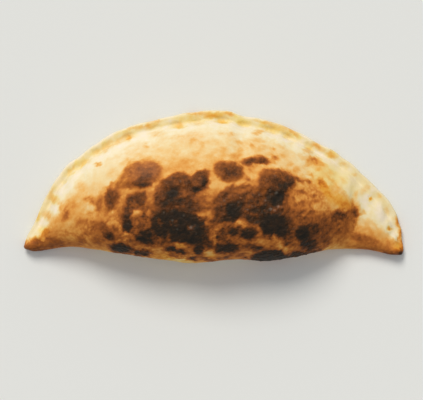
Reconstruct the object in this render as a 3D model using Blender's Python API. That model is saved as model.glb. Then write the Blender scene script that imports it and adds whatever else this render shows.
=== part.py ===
"""Calzone: one half-moon of filled dough, folded along its front edge.

+X runs along the fold to the right horn, +Y points to the crimped rim and +Z is
up. The origin is in the middle of the flat base. All sizes are in metres.
"""

import math

import bmesh
import bpy
from mathutils import Vector, noise

MM = 0.001

# Plan: the rim is an arc from horn to horn, and the fold closes it at the front.
RIM_CENTRE = (1.2 * MM, -101.6 * MM)
RIM_RADIUS = 163.4 * MM
RIM_ANGLES = (161.5, 17.6)
RIM_SWELL = ((162, -0.8), (155, -2.6), (150, -1.3), (145, 0.9), (136, 3.6), (130, 1.9),
             (121, 2.0), (105, -1.5), (97, -0.8), (86, 0.2), (83, -2.6), (72, -1.6),
             (60, -2.0), (52, 0.6), (46, 2.0), (41, 2.6), (36, 5.0), (31, 7.0),
             (25, 5.2), (21, 1.6), (17, 1.3))
FOLD_LINE = ((-151.5, -55.0), (-136, -55.4), (-126, -52.2), (-108, -50.8), (-92, -53.2),
             (-76, -57.2), (-42, -59.8), (-6, -62.8), (12, -60.8), (26, -58.8),
             (59, -59.4), (76, -55.6), (90, -51.0), (104, -49.6), (126, -49.2),
             (141, -52.6), (152.6, -54.8))

# Heights of the puffed middle and of the pinched horns.
DOME_HEIGHT = 57 * MM
HORN_HEIGHT = 15 * MM
TIP_HEIGHT = 11.5 * MM
TIP_TAPER = 30 * MM
DOME_MIDDLE_X = -7 * MM
DOME_LEFT_LENGTH = 136 * MM
DOME_RIGHT_LENGTH = 127 * MM
DOME_LEFT_FULLNESS = 2.3
DOME_RIGHT_FULLNESS = 2.9
DOME_SHOULDER = 1.08

# Cross-section, from the fold at its front to the rim at its back.
PEAK_SHARE = 0.37
NOSE_SHARE = 0.25
BASE_INSET_SHARE = 0.15
NOSE_ROUNDNESS = 2.35
BACK_ROUNDNESS = 2.1
BACK_SHOULDER = 0.86
RIM_WIDTH = 8.5 * MM
RIM_WIDTH_SHARE = 0.24
RIM_THICKNESS = 6 * MM
RIM_CREASE = 0.3 * MM
CREASE_FADES = ((132, 0.0), (118, 0.35), (110, 1.0), (80, 1.0), (66, 0.4), (52, 0.0))

# Crimps, pressed by a fingertip along the seam of the rim, about every 7 degrees.
CRIMP_ANGLES = (152.5, 145.5, 138.5, 131.8, 124.5, 116.7, 108.1, 101.3, 95.6, 88.4,
                81.5, 73.5, 67.5, 58.7, 50.0, 43.5, 37.0, 31.0, 26.0)
CRIMP_HALF_WIDTH = 3.2 * MM
CRIMP_DEPTH = 1.8 * MM
CRIMP_REACH = 5 * MM
CRIMP_DRAW_IN = 1.5 * MM
SCALLOP = 0.9 * MM

# Rounded closing of the horn tips, and the unevenness of hand-made dough.
TIP_LENGTH_SHARE = 0.022
LUMP_SIZE = 34 * MM
LUMP_HEIGHT = 2.2 * MM
DIMPLE_SIZE = 13 * MM
DIMPLE_HEIGHT = 0.7 * MM
FLAT_BELOW = 1 * MM
LUMPS_FULL_ABOVE = 12 * MM

# Rows from horn to horn, and points round each cross-section by part.
ROWS = 92
BASE_POINTS = 6
LOWER_NOSE_POINTS = 4
UPPER_NOSE_POINTS = 9
BACK_POINTS = 10
RIM_POINTS = 4
EDGE_POINTS = 3
RING = (BASE_POINTS + LOWER_NOSE_POINTS + UPPER_NOSE_POINTS + BACK_POINTS
        + RIM_POINTS + EDGE_POINTS)


def clear_scene():
    """Remove every object of the open scene."""
    for item in list(bpy.data.objects):
        bpy.data.objects.remove(item, do_unlink=True)


def mix(low, high, share):
    """Value that lies the given share of the way from low to high."""
    return low + (high - low) * share


def ease(share):
    """Smooth step from 0 to 1."""
    share = min(max(share, 0.0), 1.0)
    return share * share * (3.0 - 2.0 * share)


def along(table, place):
    """Value at a place in a table of (place, value) rows, eased between rows."""
    rows = sorted(table)
    if place <= rows[0][0]:
        return rows[0][1]
    for (start, low), (end, high) in zip(rows, rows[1:]):
        if place <= end:
            return mix(low, high, ease((place - start) / (end - start)))
    return rows[-1][1]


def fold_point(share):
    """Plan point on the fold, from the left horn (0) to the right horn (1)."""
    first, last = FOLD_LINE[0][0], FOLD_LINE[-1][0]
    x = mix(first, last, share)
    reach = 6.0
    smooth = sum(along(FOLD_LINE, x + step) for step in (-reach, 0.0, reach)) / 3.0
    return Vector((x * MM, smooth * MM, 0.0))


def rim_point(share):
    """Plan point on the outer rim, from the left horn (0) to the right horn (1)."""
    angle = mix(RIM_ANGLES[0], RIM_ANGLES[1], share)
    radius = RIM_RADIUS + along(RIM_SWELL, angle) * MM
    turn = math.radians(angle)
    x = RIM_CENTRE[0] + radius * math.cos(turn)
    y = RIM_CENTRE[1] + radius * math.sin(turn)
    return Vector((x, y, 0.0))


def height_at(x):
    """Height of the crust above the base, over plan position x."""
    on_left = x < DOME_MIDDLE_X
    length = DOME_LEFT_LENGTH if on_left else DOME_RIGHT_LENGTH
    fullness = DOME_LEFT_FULLNESS if on_left else DOME_RIGHT_FULLNESS
    reach = min(abs((x - DOME_MIDDLE_X) / length), 1.0)
    dome = (1.0 - reach ** fullness) ** DOME_SHOULDER
    from_tip = min(x - FOLD_LINE[0][0] * MM, FOLD_LINE[-1][0] * MM - x)
    horn = mix(TIP_HEIGHT, HORN_HEIGHT, ease(from_tip / TIP_TAPER))
    return mix(horn, DOME_HEIGHT, dome)


def crimp_at(angle):
    """Depth of the fingertip marks along the rim: 1 in a mark, 0 between."""
    nearest = min(abs(angle - mark) for mark in CRIMP_ANGLES)
    away = math.radians(nearest) * RIM_RADIUS
    return math.exp(-(away / CRIMP_HALF_WIDTH) ** 2)


def tip_closing(share):
    """Size of a cross-section near a tip: 0 at the very tip, 1 past its rounding."""
    reach = min(share, 1.0 - share) / TIP_LENGTH_SHARE
    if reach >= 1.0:
        return 1.0
    return math.sqrt(1.0 - (1.0 - reach) ** 2)


def base_points(near, far):
    """Flat underside, from under the rim to under the fold."""
    steps = [index / (BASE_POINTS - 1) for index in range(BASE_POINTS)]
    return [(mix(far, near, step), 0.0) for step in steps]


def nose_points(near, waist, peak, height):
    """Fold side, from the base up over its rounded nose to the peak."""
    points = []
    for index in range(1, LOWER_NOSE_POINTS + 1):
        turn = 0.5 * math.pi * index / LOWER_NOSE_POINTS
        points.append((near * (1.0 - math.sin(turn)), waist * (1.0 - math.cos(turn))))
    power = 2.0 / NOSE_ROUNDNESS
    for index in range(1, UPPER_NOSE_POINTS + 1):
        turn = 0.5 * math.pi * index / UPPER_NOSE_POINTS
        across = peak * (1.0 - math.cos(turn) ** power)
        rise = (height - waist) * math.sin(turn) ** power
        points.append((across, waist + rise))
    return points


def back_points(peak, seam, height, crease):
    """Long slope from the peak down to the seam inside the rim."""
    points = []
    for index in range(1, BACK_POINTS + 1):
        step = math.sin(0.5 * math.pi * index / BACK_POINTS)
        drop = (1.0 - step ** BACK_ROUNDNESS) ** BACK_SHOULDER
        points.append((mix(peak, seam, step), mix(crease, height, drop)))
    return points


def rim_points(seam, width, thickness, crease):
    """Rim of the dough, from the seam over its rounded edge to the underside."""
    points = []
    for index in range(1, RIM_POINTS + 1):
        step = index / (RIM_POINTS + 0.5)
        swell = math.sin(math.pi * min(step * 1.15, 1.0)) ** 0.7
        points.append((mix(seam, width, step), mix(crease, thickness, swell)))
    depth = width - seam
    points.append((width, 0.52 * crease))
    points.append((width - 0.10 * depth, 0.18 * crease))
    points.append((width - 0.42 * depth, 0.0))
    return points


def pressed(points, seam, depth):
    """Points of the crust, pushed down where a fingertip pressed the seam."""
    marked = []
    for across, up in points:
        dent = depth * math.exp(-((across - seam + CRIMP_DRAW_IN) / CRIMP_REACH) ** 2)
        marked.append((across, max(up - dent, min(up, 1.2 * MM))))
    return marked


def section(share, width, height):
    """Closed cross-section as (across, up) points, from the base round to it."""
    angle = mix(RIM_ANGLES[0], RIM_ANGLES[1], share)
    crimp = crimp_at(angle)
    rim = min(RIM_WIDTH, RIM_WIDTH_SHARE * width)
    fullness = rim / RIM_WIDTH
    thickness = mix(0.62 * height, RIM_THICKNESS, fullness)
    width = width + SCALLOP * (0.4 - crimp) * fullness
    seam = width - rim
    crease = thickness - RIM_CREASE * fullness * along(CREASE_FADES, angle)
    near = BASE_INSET_SHARE * height
    waist = NOSE_SHARE * height
    peak = PEAK_SHARE * width
    crust = back_points(peak, seam, height, crease)
    crust += rim_points(seam, width, thickness, crease)
    points = base_points(near, seam)
    points += nose_points(near, waist, peak, height)
    points += pressed(crust, seam, CRIMP_DEPTH * crimp * fullness)
    return points


def row_points(row):
    """Points in space of one cross-section, row 0 at the left horn's tip."""
    step = row / ROWS
    share = step - 0.055 * math.sin(2.0 * math.pi * step)
    fold = fold_point(share)
    rim = rim_point(share)
    across = (rim - fold).normalized()
    middle = (fold + rim) / 2.0
    closing = tip_closing(share)
    height = height_at(middle.x)
    points = []
    for offset, up in section(share, (rim - fold).length, height):
        place = middle + (fold + across * offset - middle) * closing
        place.z = mix(0.38 * height, up, closing)
        points.append(place)
    return points


def row_of(vertex):
    """Row of a vertex of the unit sphere, counted from its top pole."""
    polar = math.acos(min(max(vertex.co.z, -1.0), 1.0))
    return round(polar / math.pi * ROWS)


def slot_of(vertex):
    """Place of a vertex round its row of the unit sphere."""
    turn = math.atan2(vertex.co.y, vertex.co.x) % (2.0 * math.pi)
    return round(turn / (2.0 * math.pi) * RING) % RING


def draw_out_half_moon(bm):
    """Sphere with its poles at the horn tips, drawn out row by row."""
    bmesh.ops.create_uvsphere(bm, u_segments=RING, v_segments=ROWS, radius=1.0)
    rows = [row_points(row) for row in range(ROWS + 1)]
    for vertex in bm.verts:
        vertex.co = rows[row_of(vertex)][slot_of(vertex)]
    if bm.calc_volume(signed=True) < 0.0:
        bmesh.ops.reverse_faces(bm, faces=bm.faces)


def lump(place, size, height):
    """Smooth unevenness of the dough at a place."""
    return height * noise.noise(place / size)


def rough_by_hand(bm):
    """Lumps and dimples over the crust, none on the flat underside."""
    bm.normal_update()
    shifts = []
    for vertex in bm.verts:
        rise = (vertex.co.z - FLAT_BELOW) / (LUMPS_FULL_ABOVE - FLAT_BELOW)
        amount = lump(vertex.co, LUMP_SIZE, LUMP_HEIGHT)
        amount += lump(vertex.co, DIMPLE_SIZE, DIMPLE_HEIGHT)
        shifts.append(vertex.normal * amount * ease(rise))
    for vertex, shift in zip(bm.verts, shifts):
        vertex.co += shift


def settle_on_origin(bm):
    """Move the half-moon so that the middle of its base is at the origin."""
    middle = Vector((0.0, 0.0, 0.0))
    for axis in range(3):
        places = [vertex.co[axis] for vertex in bm.verts]
        middle[axis] = (min(places) + max(places)) / 2.0
    middle.z = min(vertex.co.z for vertex in bm.verts)
    bmesh.ops.translate(bm, verts=bm.verts, vec=-middle)


def dough_material():
    """Baked wheat dough: matt, golden brown."""
    material = bpy.data.materials.new("baked_dough")
    material.use_nodes = True
    shader = material.node_tree.nodes["Principled BSDF"]
    shader.inputs["Base Color"].default_value = (0.56, 0.32, 0.12, 1.0)
    shader.inputs["Roughness"].default_value = 0.62
    shader.inputs["Metallic"].default_value = 0.0
    return material


def make_calzone():
    """The whole folded half-moon as one closed solid."""
    bm = bmesh.new()
    draw_out_half_moon(bm)
    rough_by_hand(bm)
    settle_on_origin(bm)
    bmesh.ops.triangulate(bm, faces=bm.faces)
    mesh = bpy.data.meshes.new("calzone")
    bm.to_mesh(mesh)
    bm.free()
    mesh.shade_smooth()
    mesh.materials.append(dough_material())
    calzone = bpy.data.objects.new("calzone", mesh)
    bpy.context.scene.collection.objects.link(calzone)
    return calzone


def main():
    """Empty the scene and model the calzone."""
    clear_scene()
    make_calzone()


main()
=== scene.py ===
"""Looks of a baked calzone: its crust, its scorch marks and its floury horns.

Every place and size in the tables below is in millimetres, in the frame of the
calzone: +X to the right horn, +Y to the crimped rim, +Z up, with the origin under its
middle. The places were chosen mark by mark.
"""

import logging
import math
from dataclasses import dataclass
from enum import Enum

import bpy
import numpy as np
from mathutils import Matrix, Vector, noise


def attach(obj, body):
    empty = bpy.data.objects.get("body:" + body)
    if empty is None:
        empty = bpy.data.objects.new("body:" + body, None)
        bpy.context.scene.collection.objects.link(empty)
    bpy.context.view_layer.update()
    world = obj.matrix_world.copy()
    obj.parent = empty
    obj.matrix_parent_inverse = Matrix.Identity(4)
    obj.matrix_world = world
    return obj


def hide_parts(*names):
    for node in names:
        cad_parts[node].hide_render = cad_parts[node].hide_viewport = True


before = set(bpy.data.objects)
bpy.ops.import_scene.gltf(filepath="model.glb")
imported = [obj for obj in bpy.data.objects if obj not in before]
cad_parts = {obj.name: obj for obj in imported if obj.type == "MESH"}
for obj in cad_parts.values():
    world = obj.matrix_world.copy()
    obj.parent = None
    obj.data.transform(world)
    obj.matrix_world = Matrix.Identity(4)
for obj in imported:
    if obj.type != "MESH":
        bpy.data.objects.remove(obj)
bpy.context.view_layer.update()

MM = 0.001
HALF_TURN = 180  # in degrees

# A vertex group holds one weight for each of its steps.
WEIGHT_STEPS = 250

# A random field adds finer fields to itself: how much each fades, how many times finer
# it is, and the way in which a seed shifts the field.
FADING = 0.7
FINER = 2.0
SHIFT = (1.0, -2.0, 0.5)

# Middle of a pattern that runs from 0 to 1.
PATTERN_MIDDLE = 0.5

logging.basicConfig(level=logging.INFO, format="%(name)s: %(message)s")
log = logging.getLogger("calzone")


class Tone(Enum):
    """How far the oven has baked a place, from loose flour (0) to charcoal (1)."""

    FLOURY = 0.02
    CREAM = 0.10
    PALE = 0.17
    STRAW = 0.24
    GOLDEN = 0.32
    TAN = 0.40
    AMBER = 0.47
    ORANGE = 0.53
    RUSSET = 0.60
    BROWN = 0.68
    UMBER = 0.76
    SCORCHED = 0.86
    CHAR = 0.95


@dataclass(frozen=True)
class Oval:
    """One baked oval of the crust, as seen from above.

    Attributes:
        x: Middle of the oval toward the right horn, in mm.
        y: Middle of the oval toward the rim, in mm.
        length: Long way across, in mm.
        width: Short way across, in mm.
        tone: How dark the oval is baked, where it is a mark of browning.
        turn: Angle of its long way to +X, in degrees.
        soft: Half the width of its blurred edge, in mm.
        ragged: How far its edge wanders in and out, in mm.
        rise: Height of the bubble that it caps, in mm.
    """

    x: float
    y: float
    length: float
    width: float
    tone: Tone = Tone.CREAM
    turn: float = 0.0
    soft: float = 1.5
    ragged: float = 1.2
    rise: float = 0.0

    def outside(self, places: np.ndarray) -> np.ndarray:
        """Distance of each place out of the oval.

        Args:
            places: Places in mm, one row each.

        Returns:
            The distances in mm, less than 0 within.
        """
        turn = math.radians(self.turn)
        right = places[:, 0] - self.x
        back = places[:, 1] - self.y
        along = (right * math.cos(turn) + back * math.sin(turn)) / (self.length / 2)
        across = (back * math.cos(turn) - right * math.sin(turn)) / (self.width / 2)
        reach = np.sqrt(along ** 2 + across ** 2)
        return (reach - 1.0) * min(self.length, self.width) / 2


@dataclass(frozen=True)
class Blot:
    """One large baked patch of the crust with an outline of its own.

    Attributes:
        outline: Corners of the patch as seen from above, in mm.
        tone: How dark the patch is baked, where it is a mark of browning.
        soft: Half the width of its blurred edge, in mm.
        ragged: How far its edge wanders in and out, in mm.
        rise: Height of the bubble that it caps, in mm.
    """

    outline: tuple[tuple[float, float], ...]
    tone: Tone = Tone.CREAM
    soft: float = 1.8
    ragged: float = 1.8
    rise: float = 0.0

    def outside(self, places: np.ndarray) -> np.ndarray:
        """Distance of each place out of the outline.

        Args:
            places: Places in mm, one row each.

        Returns:
            The distances in mm, less than 0 within.
        """
        x, y = places[:, 0], places[:, 1]
        nearest = np.full(len(places), np.inf)
        within = np.zeros(len(places), dtype=bool)
        for (ax, ay), (bx, by) in zip(self.outline, self.outline[1:] + self.outline[:1]):
            ex, ey = bx - ax, by - ay
            share = ((x - ax) * ex + (y - ay) * ey) / (ex * ex + ey * ey)
            share = np.clip(share, 0.0, 1.0)
            nearest = np.minimum(nearest, np.hypot(x - ax - share * ex, y - ay - share * ey))
            if ey != 0.0:
                within ^= ((ay > y) != (by > y)) & (x < ax + (y - ay) * ex / ey)
        return np.where(within, -nearest, nearest)


Mark = Oval | Blot

FLOURY, CREAM, PALE, STRAW = Tone.FLOURY, Tone.CREAM, Tone.PALE, Tone.STRAW
GOLDEN, TAN, AMBER, ORANGE = Tone.GOLDEN, Tone.TAN, Tone.AMBER, Tone.ORANGE
RUSSET, BROWN, UMBER = Tone.RUSSET, Tone.BROWN, Tone.UMBER
SCORCHED, CHAR = Tone.SCORCHED, Tone.CHAR

# Wide, soft zones of browning, laid on before the marks.
ZONES = (
    Oval(0, 14, 190, 66, PALE, soft=12, ragged=4),
    Oval(6, 22, 130, 34, STRAW, soft=9, ragged=4),
    Oval(-104, -6, 50, 22, PALE, turn=50, soft=8, ragged=3),
    Blot(((-90, -8), (-72, 22), (-40, 22), (0, 26), (40, 22), (66, 14), (78, -4),
          (80, -30), (-80, -30)), GOLDEN, soft=5, ragged=4),
    Blot(((-126, -14), (-112, -3), (-92, 2), (-80, -20), (-80, -60), (-150, -60),
          (-134, -34)), GOLDEN, soft=7, ragged=3),
    Blot(((-134, -30), (-126, -22), (-110, -20), (-96, -16), (-80, -30), (-80, -60),
          (-150, -60), (-140, -42)), TAN, soft=5, ragged=3),
    Blot(((-132, -38), (-120, -34), (-108, -26), (-96, -24), (-80, -34), (-80, -52),
          (-140, -54)), AMBER, soft=5, ragged=3),
    Blot(((-80, -6), (-66, -2), (-44, 2), (-6, -2), (20, 0), (44, 6), (62, 2), (60, -20),
          (64, -46), (40, -62), (-40, -62), (-88, -54)), AMBER, soft=4, ragged=3),
    Blot(((-74, -16), (-56, -14), (0, -22), (36, -20), (60, -30), (60, -40), (30, -46),
          (-4, -50), (-60, -50), (-90, -46), (-96, -34)), RUSSET, soft=4, ragged=3),
    Oval(-16, -17.5, 20, 6, BROWN, turn=-10, soft=3, ragged=2),
    Oval(-55, -28, 12, 16, BROWN, soft=3, ragged=2),
    Oval(2, -35, 12, 14, BROWN, soft=3, ragged=2),
    Oval(-8, -33, 10, 14, BROWN, turn=10, soft=3, ragged=2),
    Oval(60, -24, 8, 34, BROWN, soft=3, ragged=2),
    Blot(((62, 10), (84, 6), (92, 0), (98, -16), (94, -24), (60, -24)), AMBER, soft=4,
         ragged=3),
    Blot(((84, 10), (92, 2), (112, -6), (116, -16), (96, -20), (88, -6)), GOLDEN, soft=4,
         ragged=2),
    Blot(((60, -22), (78, -22), (100, -18), (112, -18), (114, -32), (100, -40), (88, -54),
          (58, -56)), RUSSET, soft=4, ragged=3),
    Blot(((96, -36), (118, -34), (134, -38), (160, -44), (160, -60), (90, -60)), AMBER,
         soft=4, ragged=3),
    Oval(66, 38, 46, 12, FLOURY, turn=-28, soft=5, ragged=2),
    Oval(106, 15, 26, 10, CREAM, turn=-38, soft=4, ragged=2),
    Oval(92, 24, 12, 6, CREAM, turn=-30, soft=3, ragged=2),
    Blot(((110, 6), (122, 6), (136, -6), (148, -20), (151, -34), (142, -36), (128, -28),
          (117, -22), (113, -8)), CREAM, soft=4, ragged=2),
)

# Marks of the left horn and the left end of the dome.
LEFT_MARKS = (
    Oval(-140.5, -31, 9, 12, FLOURY, turn=-16, soft=2),
    Oval(-131.5, -18.5, 7, 10, FLOURY, turn=16, soft=2),
    Oval(-126.5, -4, 7, 8, FLOURY, soft=3),
    Oval(-151, -40, 5, 5, CREAM, soft=1.5),
    Oval(-146, -38, 6, 9, CREAM, turn=-30, soft=2.2),
    Oval(-138, -23.5, 9, 4.4, STRAW, turn=10, soft=1.8),
    Oval(-144.5, -26, 3.6, 7, STRAW, turn=-25, soft=1.5),
    Oval(-131.5, -11, 6, 7, STRAW, turn=50, soft=1.8),
    Blot(((-141, -38), (-137, -35), (-132, -33), (-130, -36), (-133, -41), (-140, -42)),
         AMBER, soft=1.6),
    Oval(-134.5, -43, 9, 4.4, RUSSET, turn=-4, soft=1.8),
    Blot(((-156, -47.5), (-151, -45.5), (-146, -43.2), (-140, -43.5), (-137, -46),
          (-141, -49), (-150, -49)), ORANGE, soft=1.8),
    Blot(((-158, -47), (-150, -47.5), (-142, -48.5), (-136, -48), (-130, -46),
          (-124, -45), (-122, -50), (-132, -55), (-150, -60), (-158, -58)), RUSSET,
         soft=1.8),
    Blot(((-158, -49.5), (-146, -49.5), (-138, -50), (-131, -50), (-130, -54),
          (-136, -60), (-156, -62)), BROWN, soft=1.8),
    Oval(-144, -46.2, 9, 3.8, BROWN, turn=6, soft=1.2),
    Oval(-140, -43.6, 5, 2, TAN, turn=24, soft=1),
    Oval(-128.5, -47, 12, 5, BROWN, turn=4, soft=2),
    Oval(-121.5, -24, 4, 11, RUSSET, turn=-12, soft=1.8),
    Oval(-125.5, -18, 3, 8, TAN, turn=-14, soft=1.5),
    Oval(-115.5, -16, 8, 13, TAN, turn=-20, soft=2.8),
    Oval(-110, -10, 8, 9, GOLDEN, soft=2.5),
    Oval(-104, -10, 8, 4, AMBER, turn=10, soft=1.8),
    Oval(-97, -4, 12, 7, STRAW, turn=20, soft=2.6),
    Oval(-110, -29, 12, 4, ORANGE, turn=16, soft=2),
    Oval(-108.5, -44, 7, 9, RUSSET, soft=2.2),
    Oval(-115, -37, 16, 4, TAN, turn=-12, soft=2),
    Oval(-121, -41, 12, 3, ORANGE, turn=16, soft=1.8),
    Oval(-116, -47.5, 10, 3, ORANGE, turn=-2, soft=1.6),
    Oval(-126, -33, 8, 5, TAN, turn=-30, soft=2),
    Oval(-99, -34, 9, 11, RUSSET, turn=-20, soft=2.6),
    Oval(-104, -38, 5, 8, ORANGE, turn=-10, soft=2),
    Oval(-95, -43.5, 9, 7, BROWN, turn=-20, soft=2.4),
    Oval(-94.5, -16, 4.6, 12, RUSSET, turn=-12, soft=2.4),
    Oval(-90.4, -14, 2.2, 12, TAN, turn=-10, soft=1.2),
    Oval(-99.5, -13, 5, 9, AMBER, turn=-10, soft=2),
    Oval(-96.5, 17.5, 5, 3.6, TAN, turn=24, soft=1.2),
    Oval(-101, -24, 12, 6, TAN, turn=20, soft=2.4),
    Oval(-89.5, -20.5, 6, 8, ORANGE, turn=-10, soft=2),
    Oval(-102, -18, 7, 5, STRAW, turn=20, soft=2.2),
    Oval(-110, -1, 8, 8, GOLDEN, turn=40, soft=2.6),
    Oval(-120, -30.5, 8, 5, GOLDEN, turn=20, soft=3),
    Oval(-120, -42, 9, 4, TAN, turn=10, soft=2.4),
    Oval(-84, 11, 12, 6, STRAW, turn=40, soft=3),
    Oval(-110, -52, 36, 1.6, STRAW, turn=-1, soft=1, ragged=0.4),
)

# Marks left of the middle.
SCORCH_LEFT = (
    Blot(((-83, 0), (-79, 8), (-74, 15), (-69, 19), (-58, 22), (-46, 21), (-40, 16),
          (-42, 8), (-50, 2), (-66, -2)), TAN, soft=2.4),
    Blot(((-78, 2), (-75, 8), (-71, 14), (-67, 17.5), (-58, 19.5), (-51, 19.5),
          (-46, 16), (-44.5, 11), (-47, 6.5), (-52, 4), (-56, 0), (-66, 0),
          (-74, 1)), RUSSET, soft=3, rise=1.8),
    Oval(-69, 13, 8, 5, ORANGE, turn=30, soft=2.4),
    Oval(-73, 5, 6, 7, ORANGE, turn=-30, soft=2.4),
    Oval(-55, 21.5, 13, 4, TAN, turn=6, soft=2.2),
    Blot(((-61, 13), (-53, 17.5), (-47, 16), (-46, 11), (-48, 7), (-54, 3), (-58, 0),
          (-72, 1), (-64, 7)), RUSSET, soft=3),
    Oval(-55.5, 8.5, 15, 9, BROWN, turn=40, soft=3),
    Oval(-61, 4.5, 14, 3, UMBER, turn=18),
    Oval(-60, 1.4, 13, 2.6, SCORCHED, turn=6),
    Oval(-85, 1, 9, 4, AMBER, turn=30, soft=1.5),
    Blot(((-90, -8), (-86, -3), (-81, -1), (-77, -3), (-77, -8), (-79, -15),
          (-83, -21), (-88, -21), (-90, -16)), ORANGE, soft=2),
    Blot(((-88.5, -9), (-85, -4), (-80, -2.5), (-78, -6), (-79.5, -12), (-82, -18),
          (-86, -20), (-88.5, -15)), BROWN, soft=2.4, rise=1.2),
    Oval(-84.5, -9, 7, 11, UMBER, turn=-20, soft=2.8),
    Blot(((-71, -9), (-64, -5.5), (-58, -5), (-56, -9), (-58, -15), (-62, -17),
          (-67, -19), (-68.5, -26), (-66.5, -33), (-68, -37), (-75, -37), (-77, -30),
          (-75.5, -20), (-73, -13)), UMBER, soft=2.2),
    Oval(-71.5, -31, 8.5, 13, SCORCHED, soft=2),
    Oval(-71.5, -34, 5, 6, CHAR, soft=2.2),
    Oval(-75.5, -10, 3, 12, AMBER, turn=-14, soft=1.4),
    Oval(-66.5, -14, 6, 5, BROWN, soft=1.6),
    Oval(-58, -30, 15, 13, BROWN, turn=20, soft=2.6, ragged=2),
    Oval(-57, -17.5, 9, 4, BROWN, soft=1.6),
    Blot(((-67.5, -21), (-65, -18.8), (-61.5, -19.5), (-59.5, -22), (-61.5, -24.5),
          (-66, -26.5), (-68, -25)), TAN, soft=1.1, ragged=0.8, rise=1.0),
    Oval(-64.5, -21.2, 4.4, 3.6, GOLDEN, turn=10, soft=1.2, ragged=0.6),
    Oval(-59, -25.4, 14, 3.4, UMBER, turn=14, soft=1, ragged=0.8),
    Oval(-58, -21.8, 3, 3, UMBER, soft=0.9),
    Oval(-54.5, -21.8, 3.6, 5, AMBER, turn=-20, soft=1.1),
    Oval(-63, -29.5, 6, 3, RUSSET, turn=20, soft=1.6),
    Oval(-54, -28, 5, 2, RUSSET, turn=30, soft=1.2),
    Oval(-56, -14.5, 6, 4, RUSSET, turn=30, soft=2),
    Blot(((-84, -48), (-78, -46.5), (-71, -48), (-68, -51), (-70, -54), (-78, -53.5),
          (-83, -51)), SCORCHED, soft=2),
    Oval(-77, -50.5, 9, 4, CHAR, turn=-10, soft=2),
    Blot(((-92, -36), (-86, -36), (-81, -40), (-82, -45), (-88, -44), (-91, -41)),
         UMBER, soft=2.4),
    Oval(-85.5, -41, 5, 4, SCORCHED, soft=2),
    Oval(-92, -32.5, 8, 6, BROWN, soft=2.2),
    Oval(-95, -41, 8, 6, RUSSET, soft=1.8),
    Oval(-79.5, -30, 4, 10, AMBER, turn=6, soft=1.4),
    Blot(((-66, -40), (-60, -37), (-55, -33), (-50, -34), (-50, -46), (-58, -46),
          (-65, -44)), SCORCHED),
    Oval(-56, -42, 10, 6, CHAR, turn=10, soft=1.8),
    Blot(((-67, -51), (-60, -52), (-53, -52), (-50, -54), (-55, -56), (-64, -55.5)),
         SCORCHED),
    Oval(-68, -42.5, 7, 4, BROWN, turn=-20),
    Oval(-72.5, -39.5, 7, 3.6, TAN, turn=-14),
    Oval(-75, -43, 6, 3, ORANGE, turn=10, soft=1),
    Oval(-61, -48.5, 9, 3, ORANGE, turn=6, soft=1.2),
)

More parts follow.
